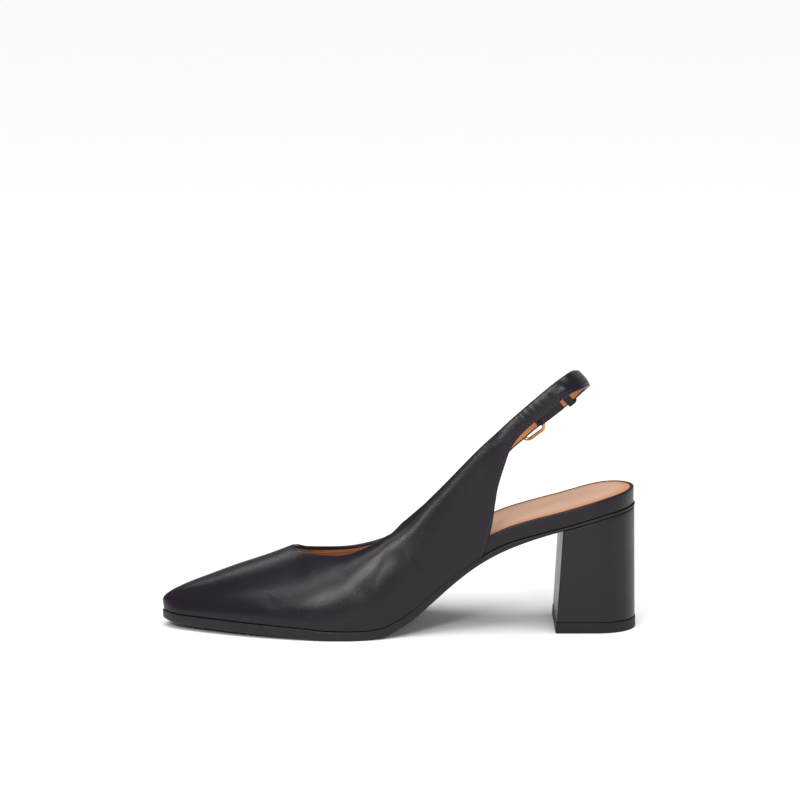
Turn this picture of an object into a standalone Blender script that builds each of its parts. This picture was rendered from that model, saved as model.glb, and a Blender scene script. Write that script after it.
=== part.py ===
"""Slingback pump for a right foot, standing empty on its sole.

The toe points along -X, the outer side of the foot is +Y and +Z is up. The origin is the
middle of the heel tip's bottom face. Lengths are in metres.

Every piece is worked out from one last: a plan outline, a profile of the sole's bottom and a
height over the edge where upper and sole meet. The tables hold shares of the named sizes.
A place along the last is its share of the last's length, 0 at the toe and 1 at the back.
"""
import math

import bmesh
import bpy
import numpy as np
from mathutils import Matrix, Vector

# Last
LAST_LENGTH = 0.2522
BALL_WIDTH = 0.0785
SEAT_WIDTH = 0.0528
HEEL_HEIGHT = 0.0656
TOE_SPRING = 0.0043
INSTEP_HEIGHT = 0.0382
STRAP_HEIGHT = 0.0810
HEEL_CENTRE = 0.0212

# Leather and board
UPPER_WALL = 0.0018
STRAP_WALL = 0.0018
SOLE_THICKNESS = 0.0054
SEAT_PADDING = 0.0078
SOCK_THICKNESS = 0.0008
RIM_SHOWN = 0.0020
CLEARANCE = 0.0003
INSOLE_ROOM = 0.0013
SOLE_LOWER_ROUND = 0.0008
SOLE_UPPER_ROUND = 0.0004
INSOLE_LOWER_ROUND = 0.0004
RIM_ROUND = 0.0014
SOCK_LOWER_ROUND = 0.0001
SOCK_UPPER_ROUND = 0.0003

# Heel
HEEL_TIP_LENGTH = 0.0431
HEEL_TIP_WIDTH = 0.0440
HEEL_FLAT_SIDE = 0.0213
HEEL_BREAST_LEAN = 0.0031
HEEL_BACK_CURVE = 0.86
TIP_THICKNESS = 0.0060
TIP_LIP = 0.0003

# Buckle and keeper
BUCKLE_LENGTH = 0.0140
BUCKLE_WIDTH = 0.0160
BUCKLE_CORNER = 0.0035
BUCKLE_WIRE = 0.0019
PRONG_WIRE = 0.0013
PRONG_HOLE = 0.0024
PRONG_OVERHANG = 0.0011
PRONG_BEND = 0.12
HOLE_PITCH = 0.0060
HOLE_COUNT = 4
KEEPER_WIDTH = 0.0040
KEEPER_WALL = 0.0009
KEEPER_ROOM = 0.0006
KEEPER_CORNER = 0.0011

# place, inner half width, outer half width, as shares of the width there
OUTLINE = (
    (0.000, 0.025, -0.025),
    (0.006, 0.079, 0.026),
    (0.016, 0.120, 0.065),
    (0.036, 0.172, 0.118),
    (0.071, 0.232, 0.176),
    (0.111, 0.293, 0.242),
    (0.170, 0.369, 0.326),
    (0.230, 0.431, 0.395),
    (0.290, 0.475, 0.445),
    (0.341, 0.499, 0.478),
    (0.389, 0.503, 0.497),
    (0.440, 0.478, 0.500),
    (0.500, 0.432, 0.497),
    (0.559, 0.418, 0.507),
    (0.619, 0.438, 0.530),
    (0.686, 0.479, 0.543),
    (0.757, 0.485, 0.511),
    (0.837, 0.500, 0.504),
    (0.896, 0.496, 0.496),
    (0.940, 0.439, 0.439),
    (0.971, 0.333, 0.333),
    (0.991, 0.189, 0.189),
    (1.000, 0.000, 0.000),
)

# place, share of the toe spring, share of the heel height
PROFILE = (
    (0.00, 1.00, 0.000),
    (0.04, 0.68, 0.000),
    (0.12, 0.56, 0.000),
    (0.20, 0.44, 0.000),
    (0.29, 0.22, 0.000),
    (0.36, 0.00, 0.000),
    (0.43, 0.00, 0.000),
    (0.465, 0.00, 0.015),
    (0.50, 0.00, 0.069),
    (0.53, 0.00, 0.138),
    (0.57, 0.00, 0.267),
    (0.62, 0.00, 0.433),
    (0.67, 0.00, 0.578),
    (0.72, 0.00, 0.686),
    (0.79, 0.00, 0.793),
    (0.87, 0.00, 0.886),
    (0.94, 0.00, 0.960),
    (1.00, 0.00, 1.000),
)

# place, share of the sole's thickness
SOLE_EDGE = (
    (0.00, 0.80),
    (0.03, 0.93),
    (0.10, 1.00),
    (0.30, 0.98),
    (0.39, 0.90),
    (0.56, 1.02),
    (0.61, 0.91),
    (0.67, 0.71),
    (0.73, 0.58),
    (0.79, 0.38),
    (0.84, 0.28),
    (1.00, 0.28),
)

# place, share of the seat's padding
PADDING = (
    (0.00, 0.18),
    (0.30, 0.24),
    (0.45, 0.36),
    (0.60, 0.80),
    (0.69, 0.96),
    (0.80, 0.96),
    (1.00, 1.00),
)

# place, distance of the upper's foot inside the sole's edge, as a share of the wall
FOOT_INSET = (
    (0.00, 0.30),
    (0.36, 0.30),
    (0.62, -1.30),
    (1.00, -1.30),
)

# place, sideways share of the width, height over the foot as a share of the instep height
RIDGE = (
    (0.000, -0.025, 0.130),
    (0.012, -0.032, 0.245),
    (0.036, -0.033, 0.345),
    (0.063, -0.035, 0.425),
    (0.097, -0.037, 0.512),
    (0.165, -0.039, 0.692),
    (0.200, -0.039, 0.777),
    (0.233, -0.039, 0.862),
    (0.277, -0.038, 0.990),
)

# place of the foot below, place, sideways share, height share over the foot's line
INNER_TOPLINE = (
    (0.277, 0.277, -0.038, 0.990),
    (0.287, 0.286, -0.130, 0.982),
    (0.313, 0.307, -0.204, 0.976),
    (0.341, 0.337, -0.266, 0.983),
    (0.373, 0.373, -0.313, 1.012),
    (0.402, 0.402, -0.336, 1.054),
    (0.432, 0.439, -0.348, 1.089),
    (0.456, 0.466, -0.350, 1.080),
    (0.480, 0.492, -0.355, 1.019),
    (0.508, 0.522, -0.365, 0.965),
    (0.540, 0.554, -0.383, 0.906),
    (0.571, 0.586, -0.408, 0.843),
    (0.613, 0.623, -0.441, 0.798),
    (0.651, 0.654, -0.467, 0.783),
    (0.674, 0.674, -0.478, 0.781),
)

OUTER_TOPLINE = (
    (0.277, 0.277, -0.038, 0.990),
    (0.287, 0.287, 0.064, 0.955),
    (0.313, 0.305, 0.140, 0.903),
    (0.341, 0.341, 0.246, 0.870),
    (0.373, 0.377, 0.300, 0.866),
    (0.404, 0.410, 0.332, 0.866),
    (0.440, 0.451, 0.360, 0.840),
    (0.464, 0.479, 0.370, 0.800),
    (0.488, 0.504, 0.380, 0.800),
    (0.504, 0.520, 0.388, 0.782),
    (0.543, 0.559, 0.413, 0.708),
    (0.587, 0.599, 0.444, 0.646),
    (0.638, 0.638, 0.473, 0.611),
    (0.674, 0.674, 0.489, 0.602),
)

# lower edge and upper edge: place, sideways share, height share
INNER_REAR = (
    (0.683, -0.525, 0.060, 0.686, -0.482, 0.783),
    (0.694, -0.541, 0.193, 0.696, -0.484, 0.787),
    (0.701, -0.542, 0.313, 0.705, -0.484, 0.793),
    (0.709, -0.532, 0.430, 0.713, -0.484, 0.799),
    (0.722, -0.515, 0.542, 0.720, -0.484, 0.805),
    (0.734, -0.500, 0.628, 0.728, -0.484, 0.813),
    (0.750, -0.491, 0.683, 0.736, -0.482, 0.823),
)

OUTER_REAR = (
    (0.683, 0.567, 0.060, 0.685, 0.489, 0.604),
    (0.692, 0.567, 0.166, 0.693, 0.487, 0.607),
    (0.700, 0.553, 0.266, 0.700, 0.484, 0.610),
    (0.709, 0.534, 0.357, 0.706, 0.481, 0.614),
    (0.721, 0.511, 0.428, 0.713, 0.477, 0.619),
    (0.743, 0.479, 0.493, 0.722, 0.472, 0.627),
)

LOOP = (
    (0.766, -0.487, 0.720, 0.745, -0.481, 0.836),
    (0.786, -0.484, 0.757, 0.760, -0.479, 0.862),
    (0.818, -0.477, 0.815, 0.790, -0.473, 0.915),
    (0.859, -0.450, 0.871, 0.831, -0.452, 0.984),
    (0.884, -0.352, 0.872, 0.855, -0.352, 1.006),
    (0.899, -0.180, 0.856, 0.868, -0.180, 0.998),
    (0.906, 0.000, 0.832, 0.879, 0.000, 0.970),
    (0.903, 0.180, 0.799, 0.884, 0.180, 0.940),
    (0.891, 0.330, 0.758, 0.873, 0.315, 0.893),
    (0.870, 0.402, 0.714, 0.847, 0.388, 0.834),
    (0.843, 0.426, 0.666, 0.819, 0.417, 0.779),
    (0.816, 0.441, 0.620, 0.791, 0.436, 0.730),
    (0.791, 0.455, 0.578, 0.766, 0.451, 0.688),
    (0.765, 0.466, 0.533, 0.741, 0.464, 0.648),
)

# place of the foot, height and outward reach of the lower handle, outward reach and height of
# the upper one: the handles of the last's half section, as shares of its height and half width
INNER_FORM = (
    (0.000, 0.45, 0.00, 0.55, 1.000),
    (0.060, 0.45, 0.04, 0.56, 1.000),
    (0.170, 0.44, 0.07, 0.52, 1.020),
    (0.277, 0.45, 0.08, 0.43, 1.035),
    (0.350, 0.45, 0.09, 0.48, 1.030),
    (0.440, 0.41, 0.11, 0.66, 1.015),
    (0.540, 0.36, 0.12, 0.78, 1.000),
    (0.680, 0.36, 0.08, 0.82, 1.000),
)
OUTER_FORM = (
    (0.000, 0.45, 0.00, 0.55, 1.000),
    (0.060, 0.45, 0.04, 0.56, 1.000),
    (0.170, 0.43, 0.07, 0.50, 0.975),
    (0.277, 0.43, 0.08, 0.43, 0.940),
    (0.350, 0.42, 0.09, 0.45, 0.910),
    (0.440, 0.42, 0.11, 0.56, 0.920),
    (0.540, 0.40, 0.12, 0.70, 0.960),
    (0.680, 0.38, 0.08, 0.80, 1.000),
)

# Places on the loop, counted in rows of the strap's path
BILLET_RISE = 13.9
BILLET_RISE_ROWS = 1.6
BILLET_TIP = 8.9
BUCKLE_PLACE = 13.05
KEEPER_PLACE = 10.1

# Places where one form goes over to the next: where it starts, and how long it takes
WAIST_START = 0.45
WAIST_SPAN = 0.25
RISE_START = 0.38
RISE_SPAN = 0.37
FLAT_START = 0.61
FLAT_SPAN = 0.14

# Steps of the meshes
TOE_STEPS = 12
WALL_STEPS = 10
ROW_STEPS = 2
PLATE_STEPS = 40
SECTION_SAMPLES = 257
ACROSS_STEPS = 6
ROUND_STEPS = 2
SLING_STEPS = 44
BILLET_STEPS = 26
BAND_STEPS = 3
HOLE_STEPS = 12
CORNER_STEPS = 4
HEEL_STEPS = 8
HEEL_LEVELS = 3
NOSE_ANGLE = 0.05
TANGENT_STEP = 0.02
LARGEST_ROUND = 0.45


def steady(table, places):
    """Columns of a table at the given places, on cubics that keep each column's rises."""
    rows = np.array(table)
    knots = rows[:, 0]
    step = np.diff(knots)[:, None]
    slope = np.diff(rows[:, 1:], axis=0) / step
    same = slope[:-1] * slope[1:] > 0
    first = 2 * step[1:] + step[:-1]
    second = step[1:] + 2 * step[:-1]
    safe = np.where(same, slope[:-1] * slope[1:], 1.0)
    mean = (first + second) * safe / (first * slope[1:] + second * slope[:-1] + (~same))
    inner = np.where(same, mean, 0.0)
    tangent = np.vstack([slope[:1], inner, slope[-1:]])
    at = np.clip(np.atleast_1d(places), knots[0], knots[-1])
    i = np.clip(np.searchsorted(knots, at) - 1, 0, len(step) - 1)
    h = step[i]
    t = ((at - knots[i])[:, None]) / h
    low, high = rows[i, 1:], rows[i + 1, 1:]
    return ((1 + 2 * t) * (1 - t) ** 2 * low + t * (1 - t) ** 2 * h * tangent[i]
            + t * t * (3 - 2 * t) * high + t * t * (t - 1) * h * tangent[i + 1])


def through(rows, places):
    """A smooth curve through rows of equal spacing, read at places counted in rows."""
    rows = np.asarray(rows)
    padded = np.vstack([2 * rows[:1] - rows[1:2], rows, 2 * rows[-1:] - rows[-2:-1]])
    at = np.atleast_1d(places)
    i = np.clip(np.floor(at).astype(int), 0, len(rows) - 2)
    t = (at - i)[:, None]
    a, b, c, d = padded[i], padded[i + 1], padded[i + 2], padded[i + 3]
    return b + 0.5 * t * (c - a + t * (2 * a - 5 * b + 4 * c - d + t * (3 * (b - c) + d - a)))


def eased(start, end, share):
    """A value that goes softly from start to end as the share goes from 0 to 1."""
    share = np.clip(share, 0.0, 1.0)
    return start + (end - start) * share * share * (3 - 2 * share)


def turn(place):
    """The angle of a place, which runs evenly round both ends of the last."""
    return np.arccos(np.clip(1 - 2 * np.asarray(place), -1, 1))


def place_of(x):
    return (np.asarray(x) - HEEL_CENTRE) / LAST_LENGTH + 1


def x_of(place):
    return HEEL_CENTRE + (np.asarray(place) - 1) * LAST_LENGTH


def width_at(place):
    return eased(BALL_WIDTH, SEAT_WIDTH, (np.asarray(place) - WAIST_START) / WAIST_SPAN)


def rise_at(place):
    return eased(INSTEP_HEIGHT, STRAP_HEIGHT, (np.asarray(place) - RISE_START) / RISE_SPAN)


def sole_bottom(place):
    shares = steady(PROFILE, place)
    return TOE_SPRING * shares[:, 0] + HEEL_HEIGHT * shares[:, 1]


def sole_top(place):
    return sole_bottom(place) + SOLE_THICKNESS * steady(SOLE_EDGE, place)[:, 0]


def insole_top(place):
    return sole_top(place) + CLEARANCE + SEAT_PADDING * steady(PADDING, place)[:, 0]


def over_turn(table):
    """The same table with its places turned into angles."""
    rows = np.array(table)
    rows[:, 0] = turn(rows[:, 0])
    return rows


def edge_points(angles, side, inset):
    """Plan points of the outline on one side, -1 inner and 1 outer, moved in by the inset."""
    small = 1e-4

    def plain(angle):
        place = (1 - np.cos(angle)) / 2
        column = 0 if side < 0 else 1
        half = steady(over_turn(OUTLINE), angle)[:, column] * width_at(place)
        return np.stack([x_of(place), side * half], axis=1)

    low = np.clip(angles - small, 0, math.pi)
    high = np.clip(angles + small, 0, math.pi)
    along = plain(high) - plain(low)
    along /= np.linalg.norm(along, axis=1)[:, None]
    inward = np.stack([side * along[:, 1], -side * along[:, 0]], axis=1)
    return plain(angles) + inward * np.reshape(inset, (-1, 1))


def upper_foot(places, side):
    """The line on which the upper stands, on one side."""
    inset = UPPER_WALL * steady(FOOT_INSET, places)[:, 0]
    plan = edge_points(turn(places), side, inset)
    height = sole_top(place_of(plan[:, 0])) + CLEARANCE
    return np.column_stack([plan, height])


def ridge_line(place):
    """Sideways and height shares of the ridge over the last, which end at the throat."""
    return steady(over_turn(RIDGE), turn(place))


def spot(place, sideways, height):
    """A point from its shares: place, share of the width and share of the rise."""
    place = np.asarray(place)
    return np.stack([x_of(place), sideways * width_at(place),
                     sole_top(place) + height * rise_at(place)], axis=1)


def half_section(t, form):
    """Outward and upward shares of the last's half section, a cubic from foot to ridge."""
    out = ((1 - t) ** 3 + 3 * (1 - t) ** 2 * t * (1 + form[:, 1:2])
           + 3 * (1 - t) * t ** 2 * form[:, 2:3])
    up = 3 * (1 - t) ** 2 * t * form[:, 0:1] + 3 * (1 - t) * t ** 2 * form[:, 3:4] + t ** 3
    return out, up


def wall_curve(foot, top, side, place):
    """The wall from foot to top at each station.

    The wall follows the last's half section as far as the topline's distance from the ridge,
    and the section is made as tall as brings that point to the topline. Towards the strap the
    wall becomes flat.
    """
    form = steady(INNER_FORM if side < 0 else OUTER_FORM, place)
    middle = ridge_line(place)[:, 0] * width_at(place)
    half = side * (foot[:, 1] - middle)
    away = np.maximum(side * (top[:, 1] - middle), 0.0)
    out = half[:, None] * half_section(np.linspace(0, 1, SECTION_SAMPLES)[None, :], form)[0]
    beyond = out >= away[:, None]
    last = SECTION_SAMPLES - 1 - np.argmax(beyond[:, ::-1], axis=1)
    last = np.minimum(last, SECTION_SAMPLES - 2)
    row = np.arange(len(last))
    fall = out[row, last] - out[row, last + 1]
    extra = np.where(fall > 0, (out[row, last] - away) / np.where(fall > 0, fall, 1.0), 1.0)
    cut = (last + np.clip(extra, 0, 1)) / (SECTION_SAMPLES - 1)
    share = np.linspace(0, 1, WALL_STEPS + 1)[None, :]
    out, up = half_section(cut[:, None] * share, form)
    up = up / up[:, -1:]
    flat = foot[:, None] + (top - foot)[:, None] * share[:, :, None]
    curve = foot[:, None] + (top - foot)[:, None] * up[:, :, None]
    curve[:, :, 1] = middle[:, None] + side * half[:, None] * out
    curve[:, :, 1] += share * (top[:, 1:2] - curve[:, -1:, 1])
    towards_strap = eased(0.0, 1.0, (np.asarray(place) - FLAT_START) / FLAT_SPAN)
    return curve + (flat - curve) * towards_strap[:, None, None]


def mesh_object(name, vertices, faces, collection, merge=0.0):
    """An object from points and faces, with doubles merged where asked."""
    mesh = bpy.data.meshes.new(name)
    mesh.from_pydata(np.asarray(vertices).tolist(), [], faces)
    obj = bpy.data.objects.new(name, mesh)
    collection.objects.link(obj)
    if merge:
        bm = bmesh.new()
        bm.from_mesh(mesh)
        bmesh.ops.remove_doubles(bm, verts=bm.verts, dist=merge)
        bm.to_mesh(mesh)
        bm.free()
    mesh.shade_smooth()
    mesh.set_sharp_from_angle(angle=math.radians(40))
    return obj


def sheet_faces(count, width, start=0):
    """Quads of a grid of count by width points, numbered from start."""
    return [(start + i * width + j, start + (i + 1) * width + j,
             start + (i + 1) * width + j + 1, start + i * width + j + 1)
            for i in range(count - 1) for j in range(width - 1)]


def ring_faces(count, width):
    """Quads of a stack of closed rings, with a face over each end."""
    faces = [(i * width + j, (i + 1) * width + j,
              (i + 1) * width + (j + 1) % width, i * width + (j + 1) % width)
             for i in range(count - 1) for j in range(width)]
    faces.append(tuple(range(width)))
    faces.append(tuple((count - 1) * width + j for j in reversed(range(width))))
    return faces


def thickened(obj, wall):
    """Wall of leather, laid inward from the outer surface."""
    solid = obj.modifiers.new("Wall", "SOLIDIFY")
    solid.thickness = wall
    solid.offset = -1
    solid.use_even_offset = True
    solid.use_quality_normals = True
    return obj


def leather(name, colour, roughness, metallic=0.0):
    material = bpy.data.materials.new(name)
    material.use_nodes = True
    shader = material.node_tree.nodes["Principled BSDF"]
    shader.inputs["Base Color"].default_value = (*colour, 1)
    shader.inputs["Roughness"].default_value = roughness
    shader.inputs["Metallic"].default_value = metallic
    return material


def rounded_section(medial, lateral, low, high, low_round, high_round):
    """Closed sections of a plate: up the inner edge, across, down the outer edge and back."""
    depth = high - low
    below = np.minimum(low_round, depth * LARGEST_ROUND)
    above = np.minimum(high_round, depth * LARGEST_ROUND)
    across = lateral - medial
    across /= np.linalg.norm(across, axis=1)[:, None]
    points = []

    def corner(plan, inward, radius, level, sign, angles):
        for angle in angles:
            shift = radius * (1 - math.cos(angle))
            z = level + sign * radius * (1 - math.sin(angle))
            points.append(np.column_stack([plan + inward * shift[:, None], z]))

    quarter = np.linspace(0, math.pi / 2, ROUND_STEPS + 1)
    corner(medial, across, below, low, 1, quarter[::-1])
    corner(medial, across, above, high, -1, quarter)
    for share in np.linspace(0, 1, ACROSS_STEPS + 1)[1:-1]:
        points.append(np.column_stack([medial + (lateral - medial) * share, high]))
    corner(lateral, -across, above, high, -1, quarter[::-1])
    corner(lateral, -across, below, low, 1, quarter)
    for share in np.linspace(1, 0, ACROSS_STEPS + 1)[1:-1]:
        points.append(np.column_stack([medial + (lateral - medial) * share, low]))
    return np.stack(points, axis=1)


def plate(name, collection, inset, low, high, low_round, high_round):
    """A layer of the bottom from toe to back, between two heights along the last."""
    angles = np.linspace(NOSE_ANGLE, math.pi - NOSE_ANGLE, PLATE_STEPS + 1)
    distance = inset((1 - np.cos(angles)) / 2)
    medial = edge_points(angles, -1, distance)
    lateral = edge_points(angles, 1, distance)
    here = place_of((medial[:, 0] + lateral[:, 0]) / 2)
    rings = rounded_section(medial, lateral, low(here), high(here), low_round, high_round)
    obj = mesh_object(name, rings.reshape(-1, 3), ring_faces(*rings.shape[:2]), collection)
    return outward(obj)


def outward(obj):
    """Turn a closed mesh's faces outward."""
    bm = bmesh.new()
    bm.from_mesh(obj.data)
    bmesh.ops.recalc_face_normals(bm, faces=bm.faces)
    if bm.calc_volume(signed=True) < 0:
        bmesh.ops.reverse_faces(bm, faces=bm.faces)
    bm.to_mesh(obj.data)
    bm.free()
    return obj


def make_outsole(collection):
    return plate("outsole", collection, lambda place: np.zeros_like(place),
                 sole_bottom, sole_top, SOLE_LOWER_ROUND, SOLE_UPPER_ROUND)


def insole_inset(place):
    """The insole stands inside the upper's wall, and reaches the edge at the open seat."""
    return UPPER_WALL * (steady(FOOT_INSET, place)[:, 0] + 1) + INSOLE_ROOM


def make_insole(collection):
    return plate("insole", collection, insole_inset,
                 lambda place: sole_top(place) + CLEARANCE, insole_top,
                 INSOLE_LOWER_ROUND, RIM_ROUND)


def make_sock(collection):
    return plate("sock", collection, lambda place: insole_inset(place) + RIM_SHOWN,
                 lambda place: insole_top(place) + CLEARANCE,
                 lambda place: insole_top(place) + CLEARANCE + SOCK_THICKNESS,
                 SOCK_LOWER_ROUND, SOCK_UPPER_ROUND)


def upper_stations(topline, rear, side):
    """Foot and top points of one side of the upper, from the throat to where the strap starts."""
    topline, rear = np.array(topline), np.array(rear)
    low = np.vstack([upper_foot(topline[:, 0], side), spot(*rear[:, 0:3].T)])
    high = np.vstack([spot(*topline[:, 1:4].T), spot(*rear[:, 3:6].T)])
    places = np.concatenate([topline[:, 0], rear[:, 0]])
    at = np.linspace(0, len(low) - 1, ROW_STEPS * (len(low) - 1) + 1)
    places = through(places[:, None], at)[:, 0]
    low = through(low, at)
    on_foot = at <= len(topline) - 1
    low[on_foot] = upper_foot(places[on_foot], side)
    return low, through(high, at), places


def make_upper(collection):
    """Vamp in hoops over the last, then a wall on each side up to the straps."""
    throat = RIDGE[-1][0]
    angles = np.linspace(0, float(turn(throat)), TOE_STEPS + 1)
    places = (1 - np.cos(angles)) / 2
    shares = ridge_line(places)
    ridge = np.column_stack([
        x_of(places), shares[:, 0] * width_at(places),
        sole_top(places) + shares[:, 1] * INSTEP_HEIGHT])
    inner = wall_curve(upper_foot(places, -1), ridge, -1, places)
    outer = wall_curve(upper_foot(places, 1), ridge, 1, places)
    hoops = np.concatenate([inner, outer[:, -2::-1]], axis=1)
    vertices = [hoops.reshape(-1, 3)]
    faces = sheet_faces(*hoops.shape[:2])
    for topline, rear, side in ((INNER_TOPLINE, INNER_REAR, -1), (OUTER_TOPLINE, OUTER_REAR, 1)):
        low, high, along = upper_stations(topline, rear, side)
        wall = wall_curve(low, high, side, along)
        if side > 0:
            wall = wall[:, ::-1]
        start = sum(len(block) for block in vertices)
        faces += sheet_faces(*wall.shape[:2], start)
        vertices.append(wall.reshape(-1, 3))
    obj = mesh_object("upper", np.concatenate(vertices), faces, collection, merge=1e-5)
    return thickened(obj, UPPER_WALL)


def strap_edges(places):
    """Lower and upper edge of the strap's path, from the inner quarter round to the outer one."""
    path = np.vstack([[INNER_REAR[-1]], LOOP, [OUTER_REAR[-1]]])
    low = spot(*path[:, 0:3].T)
    high = spot(*path[:, 3:6].T)
    return through(low, places), through(high, places)


def strap_frame(places):
    """Centre, direction, upward and outward unit vectors of the strap at its places."""
    low, high = strap_edges(places)
    before = sum(strap_edges(np.asarray(places) - TANGENT_STEP)) / 2
    after = sum(strap_edges(np.asarray(places) + TANGENT_STEP)) / 2
    along = after - before
    along /= np.linalg.norm(along, axis=1)[:, None]
    up = high - low
    up -= along * np.sum(up * along, axis=1)[:, None]
    up /= np.linalg.norm(up, axis=1)[:, None]
    return (low + high) / 2, along, up, np.cross(along, up)


def row_share(length, place):
    """How many rows of the strap's path a length takes at a place."""
    half_row = 0.5
    low, high = strap_edges([place - half_row, place + half_row])
    middle = (low + high) / 2
    return length / np.linalg.norm(middle[1] - middle[0])


def band(name, collection, places, lift):
    """A strap of one wall whose outer face lies the lift above the path."""
    low, high = strap_edges(places)
    shift = strap_frame(places)[3] * np.reshape(lift, (-1, 1))
    columns = np.linspace(0, 1, BAND_STEPS + 1)[None, :, None]
    grid = (low + shift)[:, None] * (1 - columns) + (high + shift)[:, None] * columns
    obj = mesh_object(name, grid.reshape(-1, 3), sheet_faces(*grid.shape[:2]), collection)
    return thickened(obj, STRAP_WALL)


def make_sling(collection):
    """The strap round the heel, from the inner quarter to the buckle's bar."""
    start = row_share(CLEARANCE, 0)
    end = buckle_ends()[0] - row_share(BUCKLE_WIRE / 2 + CLEARANCE, BUCKLE_PLACE)
    places = np.linspace(start, end, SLING_STEPS)
    return band("sling_strap", collection, places, np.zeros(len(places)))


def billet_lift(places):
    """The billet leaves the quarter flush, then rides outside the sling."""
    share = (np.asarray(places) - BILLET_RISE + 1) / BILLET_RISE_ROWS
    return eased(STRAP_WALL + CLEARANCE, 0.0, share)


def buckle_ends():
    """Strap places of the buckle's two short sides, the bar at the heel side first."""
    half = row_share(BUCKLE_LENGTH / 2, BUCKLE_PLACE)
    return BUCKLE_PLACE - half, BUCKLE_PLACE + half


def buckle_axis():
    """Middle of the bar inside the billet, and of the side that lies outside it."""
    places = buckle_ends()
    centre, along, up, out = strap_frame(places)
    bar = centre[0] - out[0] * STRAP_WALL / 2
    rest = billet_lift(places[1:])[0] + CLEARANCE + BUCKLE_WIRE / 2
    return bar, centre[1] + out[1] * rest, up.mean(axis=0)


def hole_places():
    """Strap places of the billet's holes. The first is the one in use, beside the bar."""
    reach = BUCKLE_WIRE / 2 + CLEARANCE + PRONG_HOLE / 2
    first = buckle_ends()[0] + row_share(reach, BUCKLE_PLACE)
    return first - np.arange(HOLE_COUNT) * row_share(HOLE_PITCH, BUCKLE_PLACE - 1)


def make_billet(collection, cutters):
    """The outer quarter's strap, which runs through the buckle and outside the sling."""
    last = len(LOOP) + 1
    start = last - row_share(CLEARANCE, last)
    places = np.linspace(BILLET_TIP, start, BILLET_STEPS)
    obj = band("billet_strap", collection, places, billet_lift(places))
    for number, place in enumerate(hole_places()):
        centre, along, up, out = (value[0] for value in strap_frame([place]))
        middle = centre + out * (billet_lift([place])[0] - STRAP_WALL / 2)
        cutter = hole_cutter("billet_hole_%d" % number, cutters, middle, out)
        cut = obj.modifiers.new("Hole %d" % number, "BOOLEAN")
        cut.operation = "DIFFERENCE"
        cut.solver = "EXACT"
        cut.object = cutter
    return obj


def hole_cutter(name, collection, middle, axis):
    """A round bar across the strap, along the axis."""
    turned = Vector(axis.tolist()).to_track_quat("Z", "Y").to_matrix().to_4x4()
    mesh = bpy.data.meshes.new(name)
    bm = bmesh.new()
    bmesh.ops.create_cone(bm, cap_ends=True, segments=HOLE_STEPS, radius1=PRONG_HOLE / 2,
                          radius2=PRONG_HOLE / 2, depth=STRAP_WALL + 2 * CLEARANCE)
    bm.to_mesh(mesh)
    bm.free()
    obj = bpy.data.objects.new(name, mesh)
    obj.matrix_world = Matrix.Translation(middle.tolist()) @ turned
    obj.hide_render = True
    obj.display_type = "WIRE"
    collection.objects.link(obj)
    return obj


def wire(name, collection, points, radius, closed=False):
    """A round wire through the points."""
    curve = bpy.data.curves.new(name, "CURVE")
    curve.dimensions = "3D"
    curve.bevel_depth = radius
    curve.bevel_resolution = 2
    curve.use_fill_caps = not closed
    spline = curve.splines.new("POLY")
    spline.points.add(len(points) - 1)
    for point, place in zip(spline.points, points):
        point.co = (*place.tolist(), 1)
    spline.use_cyclic_u = closed
    obj = bpy.data.objects.new(name, curve)
    collection.objects.link(obj)
    return obj


def rounded_loop(length, width, corner, steps):
    """Plan points of a rectangle with round corners, as pairs along and across."""
    quarter = np.linspace(0, math.pi / 2, steps + 1)
    arc = np.column_stack([np.cos(quarter), np.sin(quarter)])
    centres = np.array([length / 2 - corner, width / 2 - corner])
    parts = []
    for number, signs in enumerate(((1, 1), (-1, 1), (-1, -1), (1, -1))):
        piece = (centres + corner * arc) * signs
        parts.append(piece if number % 2 == 0 else piece[::-1])
    return np.concatenate(parts)


def closed_grid(name, collection, grid):
    """An object from a grid that closes both ways."""
    count, width = grid.shape[:2]
    faces = [(i * width + j, ((i + 1) % count) * width + j,
              ((i + 1) % count) * width + (j + 1) % width, i * width + (j + 1) % width)
             for i in range(count) for j in range(width)]
    return outward(mesh_object(name, grid.reshape(-1, 3), faces, collection))


def make_buckle(collection):
    """A wire frame. Its heel side is the bar that carries the sling's end."""
    bar, rest, up = buckle_axis()
    along = (rest - bar) / np.linalg.norm(rest - bar)
    plan = rounded_loop(np.linalg.norm(rest - bar), BUCKLE_WIDTH - BUCKLE_WIRE, BUCKLE_CORNER,
                        CORNER_STEPS)
    points = (bar + rest) / 2 + plan[:, :1] * along + plan[:, 1:] * up
    return wire("buckle_frame", collection, points, BUCKLE_WIRE / 2, closed=True)


def make_prong(collection):
    """A bent wire from beside the bar, out through the hole and on to the far side."""
    bar, rest, up = buckle_axis()
    along = (rest - bar) / np.linalg.norm(rest - bar)
    out = np.cross(along, up)
    place = hole_places()[:1]
    centre, _, _, through_hole = strap_frame(place)
    lift = billet_lift(place)[0]
    inner = centre[0] - through_hole[0] * STRAP_WALL / 2
    outer = centre[0] + through_hole[0] * (lift + CLEARANCE + PRONG_WIRE)
    over = BUCKLE_WIRE / 2 + CLEARANCE + PRONG_WIRE / 2
    end = rest + out * over
    tip = end + along * PRONG_OVERHANG
    bend = outer + (end - outer) * PRONG_BEND
    return wire("buckle_prong", collection, [inner, outer, bend, end, tip], PRONG_WIRE / 2)


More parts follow.
